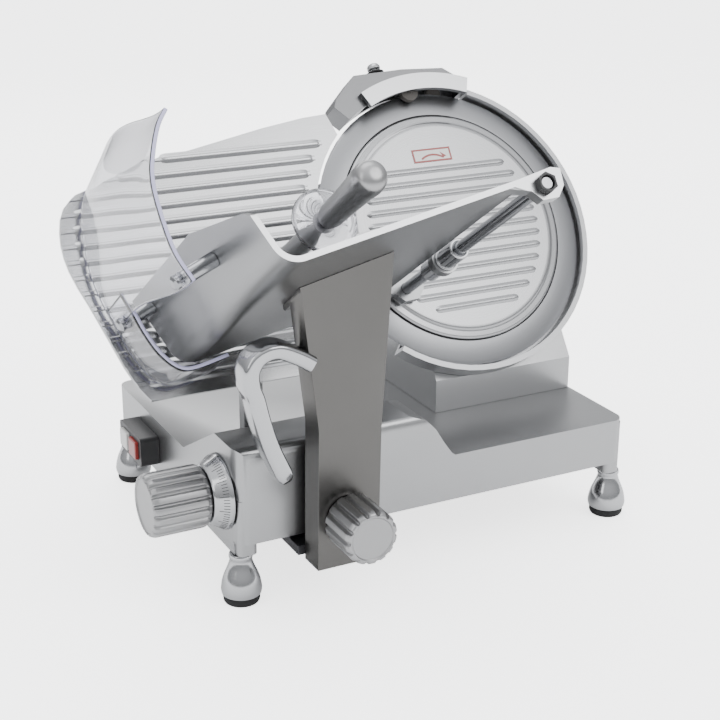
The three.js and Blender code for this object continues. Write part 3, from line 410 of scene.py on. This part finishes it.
def painted_highlight_face(name, level):
    """A painted highlight: a brighter copy of the aluminium on the flat faces that look out of the blade's
    plane at a level.
    """
    mesh = nodes[name].data
    mesh.materials.append(PAINTED_HIGHLIGHT)
    count = len(mesh.polygons)
    normals, centres = np.zeros(count * 3), np.zeros(count * 3)
    mesh.polygons.foreach_get("normal", normals)
    mesh.polygons.foreach_get("center", centres)
    heights = (centres.reshape(-1, 3) - CENTRE) @ OUT
    facing = normals.reshape(-1, 3) @ OUT > FACING
    chosen = facing & (np.abs(heights - level * MM) < FACE_TOLERANCE * MM)
    mesh.polygons.foreach_set("material_index", chosen.astype(np.int32))
    print(name, "painted highlight faces", int(chosen.sum()))


# Painted highlight on the tray's front edge faces and on the sharpener lip's front face.
painted_highlight_face("tray", TRAY_EDGE)
painted_highlight_face("sharpener_cover", LIP_FACE)

# %% [markdown]
# New surfaces are grids: a shape is a function of two parameters, worked out as whole arrays.
# One helper numbers the quads of a grid, closed round where asked, and one makes the mesh and sets
# it on its CAD body.

# %% Grid helper
def quads_of(rows, columns, wrap_columns=False):
    """Corner numbers of the quads between neighbouring points of a grid, wrapped round if asked."""
    r = np.arange(rows - 1)
    c = np.arange(columns if wrap_columns else columns - 1)
    a, b = np.meshgrid(r, c, indexing="ij")
    a2, b2 = a + 1, (b + 1) % columns
    corners = [a * columns + b, a2 * columns + b, a2 * columns + b2, a * columns + b2]
    return np.stack(corners, axis=-1).reshape(-1, 4)


def mesh_piece(name, points, faces, material, body, replaces=(), slot=None):
    """A mesh object from points in the model's metres, riding on a CAD body."""
    mesh = bpy.data.meshes.new(name)
    mesh.from_pydata(np.asarray(points).reshape(-1, 3).tolist(), [], [list(map(int, f)) for f in faces])
    mesh.validate()
    mesh.shade_smooth()
    piece = bpy.data.objects.new(name, mesh)
    bpy.context.scene.collection.objects.link(piece)
    paint(piece, material)
    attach(piece, body)
    if replaces:
        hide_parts(*replaces)
    return piece


def outward(points, faces):
    """The faces turned so that the closed surface they make holds a positive volume."""
    p = np.asarray(points).reshape(-1, 3)
    a, b, c = p[faces[:, 0]], p[faces[:, 1]], p[faces[:, 2]]
    d = p[faces[:, 3]]
    volume = (a * np.cross(b, c)).sum() + (a * np.cross(c, d)).sum()
    return faces if volume > 0 else faces[:, ::-1]


def spun(name, profile, to_world, material, body, *, sides=96, flutes=0, depth=0.0, sharpness=1.4, **more):
    """A turned piece: the profile's [radius, height] carried round, with flutes cut where asked.

    radius(angle) = r - depth * share * max(0, cos(flutes * angle)) ** sharpness, and the share
    fades where the profile's radius is small, so that a face or a hub stays round.
    """
    profile = np.asarray(profile, float)
    angle = np.linspace(0, 2 * np.pi, sides, endpoint=False)
    r, h = profile[:, 0, None], profile[:, 1, None]
    share = np.clip((r / profile[:, 0].max() - 0.86) / 0.1, 0, 1)
    dip = np.maximum(0, np.cos(flutes * angle))[None, :] ** sharpness if flutes else np.zeros((1, sides))
    radius = r - depth * share * dip
    local = np.stack([radius * np.cos(angle), radius * np.sin(angle), h + 0 * radius], axis=-1)
    points = to_world(local.reshape(-1, 3))
    faces = outward(points, quads_of(len(profile), sides, wrap_columns=True))
    return mesh_piece(name, points, faces, material, body, **more)


def rounded_profile(corners, steps=5):
    """A profile whose corners [r, h, radius] become arcs: quadratic curves between cut points."""
    corners = np.asarray(corners, float)
    path = [corners[0, :2]]
    for before, here, after in zip(corners, corners[1:], corners[2:]):
        to_before, to_after = before[:2] - here[:2], after[:2] - here[:2]
        reach = min(here[2], 0.49 * np.linalg.norm(to_before), 0.49 * np.linalg.norm(to_after))
        start = here[:2] + to_before / np.linalg.norm(to_before) * reach
        end = here[:2] + to_after / np.linalg.norm(to_after) * reach
        if reach < 1e-6:
            path.append(here[:2])
            continue
        for u in np.linspace(0, 1, steps):
            path.append((1 - u) ** 2 * start + 2 * u * (1 - u) * here[:2] + u**2 * end)
    path.append(corners[-1, :2])
    return np.array(path)


print("grid helper ready")

# %% [markdown]
# The four feet are bells of polished steel on rubber pads. They are made on a lathe, so each is one
# profile of radius and height, with soft corners, carried round an upright axis.

# %% Feet
BELL = [[0.01, 8.4, 0], [18.3, 8.4, 0.8], [19.4, 13, 3], [17.6, 24, 6], [12, 37, 8], [10.2, 43, 2],
        [11.4, 46, 1.2], [10.6, 49.4, 0.8], [0.01, 49.4, 0]]
PAD = [[0.01, 0.0, 0], [15.8, 0.0, 0.8], [17.2, 2.4, 1.5], [17.2, 8.0, 0.8], [0.01, 8.0, 0]]
for corner in ("front_left", "front_right", "back_left", "back_right"):
    low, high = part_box(f"foot_pad_{corner}")
    middle = np.array([(low.x + high.x) / 2, (low.y + high.y) / 2, 0.0])

    def stand(p, middle=middle):
        return p * MM + middle

    spun(f"bell_{corner}", rounded_profile(BELL), stand, POLISHED, "base", sides=64,
         replaces=[f"foot_bell_{corner}"], slot="polished_metal")
    spun(f"pad_{corner}", rounded_profile(PAD), stand, RUBBER, "base", sides=64,
         replaces=[f"foot_pad_{corner}"], slot="black_rubber")

# %% [markdown]
# Both knobs are cast with deep flutes for greasy hands. A flute is a dip in the radius that comes
# back every so many degrees, so one formula gives the whole grip. The thickness knob turns a polished
# cone with a scale on it; the lock knob screws the carriage arm down.

# %% Knobs and dial
DIAL_Y, DIAL_Z = 24.4, 102.5


def on_dial(p):
    """The dial's axis: local height runs along X, and the local x and y lie in Y and Z."""
    return on_machine(np.stack([p[:, 2], p[:, 0] + DIAL_Y, p[:, 1] + DIAL_Z], axis=-1))


GRIP = [[0.01, -25.3, 0], [24, -25.3, 0.6], [27.5, -27.5, 1.5], [29.5, -31, 1.5], [29.5, -77, 2],
        [27.8, -81, 1.4], [25.2, -82, 0.6], [24.6, -80.6, 0.6], [0.01, -80.9, 0]]
grip = spun("thickness_grip", rounded_profile(GRIP), on_dial, KNOB, "dial", sides=360, flutes=18, depth=3.0,
            sharpness=0.9, replaces=["thickness_knob"], slot="cast_aluminium")
CONE = [[6.4, -25, 0], [27, -25, 0.6], [28.4, -23.4, 0.8], [35.6, -11, 1.2], [36, -8.4, 0.4],
        [6.4, -8.4, 0], [6.4, -25, 0]]
spun("dial_cone", rounded_profile(CONE), on_dial, POLISHED, "dial", sides=128, replaces=["dial_ring"],
     slot="polished_metal")

LOCK_X, LOCK_Z = 81.0, 92.0


def on_lock(p):
    """The lock knob's axis: local height runs along -Y."""
    return on_machine(np.stack([p[:, 0] + LOCK_X, -p[:, 2], p[:, 1] + LOCK_Z], axis=-1))


LOCK = [[0.01, 56.2, 0], [20.5, 56.2, 0.8], [21, 60, 0.6], [25.5, 62.5, 1.5], [25.5, 103, 2],
        [23.4, 106.6, 1.4], [20.4, 107, 0.6], [19.6, 105.6, 0.6], [0.01, 105.2, 0]]
spun("lock_grip", rounded_profile(LOCK), on_lock, KNOB, "lock_knob", sides=336, flutes=14, depth=3.2,
     sharpness=1.0, replaces=["lock_knob"], slot="cast_aluminium")
print("knob triangles", 2 * len(grip.data.polygons))

# %% [markdown]
# The scale on the cone is a row of engraved ticks, long at every fifth. Each tick is a thin bar that
# lies on the cone's slope, and a loop sets them at equal angles.

# %% Scale ticks
SCALE_START = (-11.4, 35.4)  # the scale's wide end: place on the axis and radius
SCALE_RUN = (-11.6, -6.9)  # from there to its narrow end
TICK_START, LONG_TICK, SHORT_TICK = 0.12, 0.72, 0.42  # shares of that run
TICK_HALF_WIDTH, TICK_FOOT, TICK_TOP = 0.28, -0.5, 0.12


def scale_ticks(count=60, first=-150.0, last=150.0):
    """Bars on the cone: corners at the ends of a short line down the slope, times a small width."""
    points, faces = [], []
    for i in range(count + 1):
        angle = math.radians(first + (last - first) * i / count + 90)
        length = LONG_TICK if i % 5 == 0 else SHORT_TICK
        for end in (TICK_START, TICK_START + length):
            x = SCALE_START[0] + SCALE_RUN[0] * end
            r = SCALE_START[1] + SCALE_RUN[1] * end
            for side in (-TICK_HALF_WIDTH, TICK_HALF_WIDTH):
                for lift in (TICK_FOOT, TICK_TOP):
                    a = angle + side / r
                    y, z = DIAL_Y + (r + lift) * math.cos(a), DIAL_Z + (r + lift) * math.sin(a)
                    points.append([x - lift * 0.5, y, z])
        b = i * 8
        faces += [[b, b + 1, b + 3, b + 2], [b + 4, b + 6, b + 7, b + 5], [b, b + 4, b + 5, b + 1],
                  [b + 2, b + 3, b + 7, b + 6], [b + 1, b + 5, b + 7, b + 3], [b, b + 2, b + 6, b + 4]]
    return on_machine(points), faces


ticks = mesh_piece("scale_ticks", *scale_ticks(), BLACK, "dial", slot="black_plastic")
print("scale ticks", len(ticks.data.polygons) // 6)

# %% [markdown]
# The pusher holds the food against the blade: a smooth grip the hand closes on, a clear disc that
# keeps fingers back, and a neck down to the spiked plate. Grip, neck and disc are turned about one
# line square to the blade; the sleeve slides on the rod beside the tray.

# %% Pusher
HANDLE_X, HANDLE_T = -243.0, -42.0
ROD_X, ROD_T = -83.0, -64.0


def on_handle(p):
    """The handle's line, square to the blade's plane."""
    return on_slope(p + np.array([HANDLE_X, HANDLE_T, 0]))


def on_rod(p):
    """The line of the rod beside the tray, square to the blade's plane."""
    return on_slope(p + np.array([ROD_X, ROD_T, 0]))


HOLD = [[0.01, 210, 0], [9.6, 210, 1.2], [11.4, 218, 6], [12, 250, 12], [13.6, 286, 8], [14.8, 297, 5],
        [13.2, 307, 5], [7, 311.4, 4], [0.01, 311.8, 0]]
NECK = [[0.01, 106.4, 0], [11, 106.4, 1], [9.8, 122, 10], [9.9, 190, 6], [11.6, 199.0, 0.6],
        [3.0, 199.2, 0], [3.0, 209.7, 0], [0.01, 209.7, 0]]
DISC = [[3.4, 200.2, 0], [27, 200.2, 0.5], [30, 201.2, 1.2], [30, 203, 1.2], [27, 204, 0.5],
        [3.4, 204, 0], [3.4, 200.2, 0]]
spun("push_grip", rounded_profile(HOLD, 8), on_handle, KNOB, "pusher", replaces=["pusher_grip"],
     slot="cast_aluminium")
spun("push_neck", rounded_profile(NECK), on_handle, KNOB, "pusher", replaces=["pusher_neck"],
     slot="cast_aluminium")
spun("finger_disc", rounded_profile(DISC), on_handle, CLEAR, "pusher", replaces=["disc_guard"],
     slot="clear_plastic")
ROD = [[0.01, 7.6, 0], [5.4, 7.6, 0.4], [6, 8.4, 0.4], [6, 300, 0.6], [5.2, 301, 0.4], [0.01, 301, 0]]
spun("tray_rod", rounded_profile(ROD), on_rod, BRIGHT_STEEL, "carriage", sides=48, replaces=["pusher_rod"],
     slot="steel")
SLEEVE = [[6.3, 70, 0], [9.4, 70, 0.5], [10.2, 71, 0.5], [10.2, 93, 0.3], [11.6, 93.6, 0.4],
          [11.6, 95.6, 0.4], [10.2, 95.8, 0.1], [10.2, 106.2, 0.1], [11.6, 106.4, 0.4],
          [11.6, 108.4, 0.4], [10.2, 109, 0.3], [10.2, 136, 0.5], [9.4, 137, 0.5], [6.3, 137, 0],
          [6.3, 70, 0]]
spun("slide_sleeve", rounded_profile(SLEEVE), on_rod, POLISHED, "pusher_sleeve", replaces=["pusher_sleeve"],
     slot="polished_metal")
print("pusher reaches out to n", HOLD[-1][1])

# %% [markdown]
# The blade cover is a shallow dish with a stepped rim and soft ribs pressed along it, which let
# slices slide past. The dish is turned. Each rib is a low ridge: a power of a cosine across, rounded
# off and narrowed at both ends, and let a little into the dish so that no seam shows.

# %% Blade cover
DISH = [[0.01, -1.4, 0], [112, -1.4, 0], [117, -1.7, 0.5], [123.6, -1.7, 0.3], [123.8, -0.6, 0.5],
        [122, 1.0, 1.5], [115.4, 1.5, 1.5], [113.2, 3.0, 1.5], [110.5, 3.4, 2], [40, 3.6, 20],
        [0.01, 3.6, 0]]
spun("cover_dish", rounded_profile(DISH, 6), on_slope, COVER, "base", sides=256, replaces=["blade_cover"],
     slot="cast_aluminium")


SINK = 0.25  # how far a ridge is let into its surface
END_REACH = 1.6  # length of a ridge's rounded end, in half-widths
END_WIDTH = 0.25  # share of the width that is left at the very end


def rib_places(first, step, count):
    """Evenly spaced places up the slope."""
    return first + step * np.arange(count)


def ridges(spans, height, half_width, base, across=14, along=60):
    """Ridges along x: z = base - SINK + (height + SINK) * ends(u) * cos(v)**1.5 at each span.

    A span is (left, right, t). ends(u) is a quarter circle at each end of the ridge and 1 between,
    and the width narrows with it.
    """
    v = np.linspace(-np.pi / 2, np.pi / 2, across)
    u = np.linspace(0, 1, along)
    points, faces = [], []
    for left, right, t in spans:
        length = right - left
        near_end = np.minimum(u, 1 - u) * length / (END_REACH * half_width)
        ends = np.sqrt(1 - (1 - np.clip(near_end, 0, 1)) ** 2)
        x = np.repeat(left + u * length, across)
        y = t + np.outer(END_WIDTH + (1 - END_WIDTH) * ends, half_width * v / (np.pi / 2)).reshape(-1)
        z = base - SINK + (height + SINK) * np.outer(ends, np.cos(v) ** 1.5).reshape(-1)
        faces.append(quads_of(along, across) + len(points) * along * across)
        points.append(np.stack([x, y, z], axis=-1))
    faces = np.concatenate(faces)
    return on_slope(np.concatenate(points)), faces


RIB_CIRCLE = 101.0  # the ribs end on a circle of this radius
rib_lines = rib_places(62, -13.6, 12)
rib_reach = np.sqrt(RIB_CIRCLE**2 - rib_lines**2)
mesh_piece("cover_ribs", *ridges(zip(-rib_reach, rib_reach, rib_lines), 1.7, 4.6, 3.5), COVER, "base",
           slot="cast_aluminium")
print("cover ribs", len(rib_lines))

# A thin black ring under the cover's rim: painted shade for the dark gap line between the blade and the
# cover.
GAP_SHADE_RING = [[123.9, -1.95, 0], [125.2, -1.95, 0.1], [125.2, -1.3, 0.2], [123.9, -1.3, 0], [123.9, -1.95, 0]]
spun("cover_gap_shade_ring", rounded_profile(GAP_SHADE_RING), on_slope, RUBBER, "base", sides=256, slot="black_rubber")

# %% [markdown]
# The gauge plate's ribs are the same ridge, longer. Each one starts a little inside the plate's
# curved outer edge and ends before the bow round the blade, so both ends follow those curves.

# %% Gauge plate ribs
EDGE_INSET = 9
BOW_RADIUS, BOW_LEAST = 163.5, 122.0  # round the blade's axis, and the least distance from it in x
gauge_lines = rib_places(-112, 15.5, 15)
EDGE_T = [-129, -111, -36, 5, 35, 64, 78, 107]
EDGE_X = [-363, -374, -398, -411, -413, -405, -388, -304]
edge_x = np.interp(gauge_lines, EDGE_T, EDGE_X)
bow_x = -np.sqrt(np.maximum(BOW_RADIUS**2 - gauge_lines**2, BOW_LEAST**2))
mesh_piece("gauge_ribs", *ridges(zip(edge_x + EDGE_INSET, bow_x, gauge_lines), 1.9, 5.8, 0.0), GAUGE,
           "gauge", slot="cast_aluminium")
print("gauge ribs", len(gauge_lines))

# %% [markdown]
# A thick black washer sits under the sharpener's push button.

# %% Button washer
BUTTON_X = -43.0


def on_button(p):
    """The push button's axis: local height runs up the slope."""
    return on_slope(np.stack([p[:, 1] + BUTTON_X, p[:, 2], p[:, 0]], axis=-1))


WASHER = [[3.4, 174.6, 0], [9.6, 174.6, 0.6], [9.6, 176.6, 0.8], [3.4, 176.8, 0], [3.4, 174.6, 0]]
spun("button_washer", rounded_profile(WASHER), on_button, RUBBER, "sharpener", slot="black_rubber")

# %% [markdown]
# A small plate on the cover shows which way the blade turns: a red frame with a bent arrow. It is
# a generic direction mark with no lettering. Frame and arrow are flat strips a hair above the
# cover, drawn as bands between two edges.

# %% Direction mark
MARK = (-5.0, 78.0)  # its middle in the blade frame
MARK_SIZE = (46.0, 15.0)


def flat_on_cover(outline, height):
    """The outline's points at one height over the cover."""
    return on_slope(np.column_stack([outline, np.full(len(outline), height)]))


def band(inner, outer, height):
    """A closed flat strip between two loops of points at the height."""
    faces = quads_of(2, len(inner), wrap_columns=True)
    return flat_on_cover(np.concatenate([inner, outer]), height), faces


def rectangle(width, height):
    return np.array([[-1, -1], [1, -1], [1, 1], [-1, 1]]) * [width / 2, height / 2] + MARK


MARK_HEIGHT = 3.85
PLATE_HEIGHT = MARK_HEIGHT - 0.08
FRAME_WIDTH = 2.0
ARROW_RADII, ARROW_DROP, ARROW_STEPS = (21.2, 23.4), 22.0, 24
mesh_piece("mark_plate", flat_on_cover(rectangle(*MARK_SIZE), PLATE_HEIGHT), [[0, 1, 2, 3]], WHITE, "base",
           slot="white_plastic")
inside = rectangle(MARK_SIZE[0] - 2 * FRAME_WIDTH, MARK_SIZE[1] - 2 * FRAME_WIDTH)
mesh_piece("mark_frame", *band(inside, rectangle(*MARK_SIZE), MARK_HEIGHT), RED, "base", slot="red_plastic")
turn = np.linspace(0.30 * np.pi, 0.70 * np.pi, ARROW_STEPS)


def bend(radius):
    """An arc of the arrow: a circle's points over the turn, dropped to sit in the frame."""
    return np.column_stack([radius * np.cos(turn) + MARK[0], radius * np.sin(turn) + MARK[1] - ARROW_DROP])


arrow = np.concatenate([bend(radius) for radius in ARROW_RADII])
mesh_piece("mark_arrow", flat_on_cover(arrow, MARK_HEIGHT), quads_of(2, len(turn)), RED, "base",
           slot="red_plastic")
tip = np.array([[13.5, -5.2], [17.6, -3.6], [10.6, 1.4]]) + [MARK[0] - 0.8, MARK[1] + 1.4]
mesh_piece("mark_tip", flat_on_cover(tip, MARK_HEIGHT), [[0, 1, 2]], RED, "base", slot="red_plastic")
print("direction mark at", MARK)

# %% [markdown]
# The carriage handle is a cast hook with a broad flat front and rounded edges. Its middle line is
# a smooth curve through a few points, and its section is a superellipse, a shape between an
# ellipse and a rectangle, which widens a little to the free end and closes there in a rounded tip.

# %% Handle
def smooth_path(points, count):
    """A Catmull-Rom curve: each stretch is a cubic whose slopes come from the neighbours."""
    p = np.asarray(points, float)
    p = np.vstack([2 * p[0] - p[1], p, 2 * p[-1] - p[-2]])
    s = np.linspace(0, len(p) - 3 - 1e-9, count)
    i = s.astype(int)
    f = (s - i)[:, None]
    a, b, c, d = p[i], p[i + 1], p[i + 2], p[i + 3]
    return 0.5 * (2 * b + (c - a) * f + (2 * a - 5 * b + 4 * c - d) * f**2 + (3 * b - a - 3 * c + d) * f**3)


HANDLE_ROUTE = [[48, 243], [34, 252], [16, 260], [0, 257], [-8, 246], [-8, 231], [-4, 219], [1, 198],
                [9, 172], [25.5, 134]]
HANDLE_Y, HANDLE_HALF_DEPTH = -46.5, 13.5
HANDLE_HALF_WIDTH, HANDLE_WIDENING = 7.6, 0.6
TIP_START = 0.965  # share of the length where the rounded tip begins
CORNER_POWER = 0.5  # 1 is an ellipse, and 0 a rectangle


def handle_points(steps=110, around=48):
    """Sections square to the middle line: half-sizes times signed powers of cosine and sine."""
    route = smooth_path(HANDLE_ROUTE, steps)
    way = np.gradient(route, axis=0)
    way /= np.linalg.norm(way, axis=1)[:, None]
    side = np.stack([-way[:, 1], way[:, 0]], axis=-1)
    u = np.linspace(0, 1, steps)
    half = HANDLE_HALF_WIDTH + HANDLE_WIDENING * u
    tip = np.clip((u - TIP_START) / (1 - TIP_START), 0, 1)
    close = np.sqrt(np.clip(1 - tip**2, 1e-4, 1))
    angle = np.linspace(0, 2 * np.pi, around, endpoint=False)
    c = np.sign(np.cos(angle)) * np.abs(np.cos(angle)) ** CORNER_POWER
    s = np.sign(np.sin(angle)) * np.abs(np.sin(angle)) ** CORNER_POWER
    across = (half * close)[:, None] * c[None, :]
    deep = HANDLE_Y + (HANDLE_HALF_DEPTH * close)[:, None] * s[None, :]
    xz = route[:, None, :] + across[:, :, None] * side[:, None, :]
    return np.stack([xz[..., 0], deep, xz[..., 1]], axis=-1)


hook = handle_points()
hook_faces = outward(hook, quads_of(*hook.shape[:2], wrap_columns=True))
mesh_piece("hook_handle", on_machine(hook), hook_faces, POLISHED, "carriage", replaces=["carriage_handle"],
           slot="polished_metal")
print("handle length mm", round(float(np.linalg.norm(np.diff(hook.mean(axis=1), axis=0), axis=1).sum())))

# %% [markdown]
# The clear hand guard is one bent acrylic sheet. Its upright curve changes from the blade's side to
# the operator's side: two curves are blended as the sheet comes forward, and the top edge swells
# in between. A Solidify modifier gives it its real thickness.

# %% Hand guard
GUARD_THICKNESS = 3.6
GUARD_DEPTH = (8, 222)
BLEND_START = 0.25  # share of the depth before the upright curve starts to change
TOP_SWELL = 9
NEAR = [[-377, -83], [-387, -56], [-391, -17], [-390, 8], [-384, 29], [-375, 50], [-365, 64]]
FAR = [[-381, -60], [-388, -38], [-393, -12], [-394, 15], [-391, 48], [-383, 72], [-368, 93]]


def guard_points(rows=64, columns=48):
    """Blend of two curves: far + (near - far) * smoothstep(v), with a bump of the top edge."""
    near, far = smooth_path(NEAR, rows)[:, None, :], smooth_path(FAR, rows)[:, None, :]
    u = np.linspace(0, 1, rows)[:, None]
    v = np.linspace(0, 1, columns)[None, :]
    w = np.clip((v - BLEND_START) / (1 - BLEND_START), 0, 1)
    w = (w * w * (3 - 2 * w))[..., None]
    xt = far + (near - far) * w
    t = xt[..., 1] + TOP_SWELL * u**4 * np.sin(np.pi * v)
    n = GUARD_DEPTH[0] + (GUARD_DEPTH[1] - GUARD_DEPTH[0]) * v + 0 * u
    return np.stack([xt[..., 0], t, n], axis=-1)


def thicken(piece, thickness):
    """Gives a sheet its thickness in millimetres, with the tinted finish on its cut edge."""
    thick = piece.modifiers.new("Sheet thickness", "SOLIDIFY")
    thick.thickness = thickness * MM
    thick.offset = 0
    piece.data.materials.append(RIM_CLEAR)
    thick.material_offset_rim = 1


sheet = guard_points()
guard = mesh_piece("clear_guard", on_slope(sheet.reshape(-1, 3)), quads_of(*sheet.shape[:2]), CLEAR,
                   "carriage", replaces=["hand_guard"], slot="clear_plastic")
thicken(guard, GUARD_THICKNESS)
rim = guard.modifiers.new("Polished rim", "BEVEL")
rim.width = 0.7 * MM
rim.segments = 2
rim.angle_limit = math.radians(50)

TAB_DEPTH = (8, 66)
TAB = [[-387.2, -41], [-381, -60], [-375, -80], [-366, -100], [-353, -115], [-338, -118.5],
       [-304, -112]]


def tab_points(rows=60, columns=10):
    """The tab's middle surface: one smooth curve pushed along n over the tab's depth."""
    curve = np.repeat(smooth_path(TAB, rows)[:, None, :], columns, axis=1)
    n = np.tile(np.linspace(*TAB_DEPTH, columns), (rows, 1))
    return np.concatenate([curve, n[..., None]], axis=-1)


strip = tab_points()
tab = mesh_piece("guard_tab", on_slope(strip.reshape(-1, 3)), quads_of(*strip.shape[:2]), CLEAR, "carriage",
                 slot="clear_plastic")
thicken(tab, GUARD_THICKNESS - 0.4)
print("guard points", sheet.shape)

# %% [markdown]
# The studio is plain: a pale floor, a soft key from the front right, a fill from the left, a soft
# light overhead and a strip behind. The sky's strength depends on the ray. It lights the scene
# evenly, the camera sees it brighter, and in the metal it is dim at the horizon and brighter above.
# The floor glows for the camera only, so that it stays pale without lighting the metal.

# %% Floor, light and camera
FLOOR_HALF = 6.0
FLOOR_GLOW = 2.4
SKY_COLOUR = (0.95, 0.96, 0.98, 1)
HORIZON_LEVEL, ZENITH_LEVEL = 0.45, 1.7  # what metal mirrors
LIGHTING_LEVEL, SEEN_LEVEL = 2.2, 4.5  # what lights the scene, and what the camera sees


def floor():
    """A square of floor under the machine."""
    signs = ((-1, -1), (1, -1), (1, 1), (-1, 1))
    mesh = bpy.data.meshes.new("floor")
    mesh.from_pydata([(x * FLOOR_HALF, y * FLOOR_HALF, 0) for x, y in signs], [], [(0, 1, 2, 3)])
    plane = bpy.data.objects.new("floor", mesh)
    bpy.context.scene.collection.objects.link(plane)
    pale = finish_material("Pale floor", (0.86, 0.86, 0.86), 0.8, metallic=0.0, scale=40, bump=0.0,
                           uneven=0.01)
    tree = pale.node_tree
    shader = tree.nodes["Principled BSDF"]
    shader.inputs["Emission Color"].default_value = (1, 1, 1, 1)
    ray = tree.nodes.new("ShaderNodeLightPath")
    glow = range_node(tree, 0.0, FLOOR_GLOW)
    wire(
        tree,
        (ray.outputs["Is Camera Ray"], glow.inputs["Value"]),
        (glow.outputs["Result"], shader.inputs["Emission Strength"]),
    )
    paint(plane, pale)


def soft_light(name, location, target, size, power):
    light = bpy.data.lights.new(name, "AREA")
    light.shape = "RECTANGLE"
    light.size, light.size_y = size
    light.energy = power
    lamp = bpy.data.objects.new(name, light)
    lamp.location = location
    lamp.rotation_mode = "QUATERNION"
    lamp.rotation_quaternion = (Vector(target) - Vector(location)).to_track_quat("-Z", "Y")
    bpy.context.scene.collection.objects.link(lamp)


def studio_sky():
    """The world: its strength is set by whether a ray comes from the camera, a mirror or neither."""
    world = bpy.data.worlds.new("Studio")
    world.use_nodes = True
    sky = world.node_tree
    background = sky.nodes["Background"]
    background.inputs["Color"].default_value = SKY_COLOUR
    kind = sky.nodes.new("ShaderNodeLightPath")
    direction = sky.nodes.new("ShaderNodeTexCoord")
    parts = sky.nodes.new("ShaderNodeSeparateXYZ")
    overhead = range_node(sky, HORIZON_LEVEL, ZENITH_LEVEL)
    mirrored = range_node(sky, LIGHTING_LEVEL, ZENITH_LEVEL)
    seen = range_node(sky, LIGHTING_LEVEL, SEEN_LEVEL)
    wire(
        sky,
        (direction.outputs["Generated"], parts.inputs["Vector"]),
        (parts.outputs["Z"], overhead.inputs["Value"]),
        (kind.outputs["Is Glossy Ray"], mirrored.inputs["Value"]),
        (overhead.outputs["Result"], mirrored.inputs["To Max"]),
        (kind.outputs["Is Camera Ray"], seen.inputs["Value"]),
        (mirrored.outputs["Result"], seen.inputs["To Min"]),
        (seen.outputs["Result"], background.inputs["Strength"]),
    )
    bpy.context.scene.world = world


floor()
studio_sky()
aim = (0.0, 0.0, 0.22)
soft_light("key", (1.1, -1.7, 2.0), aim, (1.5, 1.3), 22)
soft_light("fill", (-2.2, -0.9, 1.5), aim, (0.8, 1.6), 8)
soft_light("top", (0.0, 0.3, 2.6), aim, (2.0, 1.2), 16)
soft_light("rim", (0.4, 2.2, 1.4), aim, (2.2, 0.7), 14)

CAMERA_PLACE = (-456.45, -1118.62, 679.84)  # in the working frame
YAW, PITCH, ROLL = 27.36, 20.19, 0.25
SENSOR, LENS = 36.0, 73.4375  # millimetres
camera_data = bpy.data.cameras.new("camera")
camera_data.sensor_width = SENSOR
camera_data.lens = LENS
camera = bpy.data.objects.new("camera", camera_data)
camera.location = on_machine(CAMERA_PLACE)
turn_to = (
    Matrix.Rotation(math.radians(-YAW), 3, "Z")
    @ Matrix.Rotation(math.radians(90 - PITCH), 3, "X")
    @ Matrix.Rotation(math.radians(ROLL), 3, "Z")
)
camera.rotation_euler = turn_to.to_euler()
bpy.context.scene.collection.objects.link(camera)
bpy.context.scene.camera = camera
print("camera at", [round(v, 3) for v in camera.location])
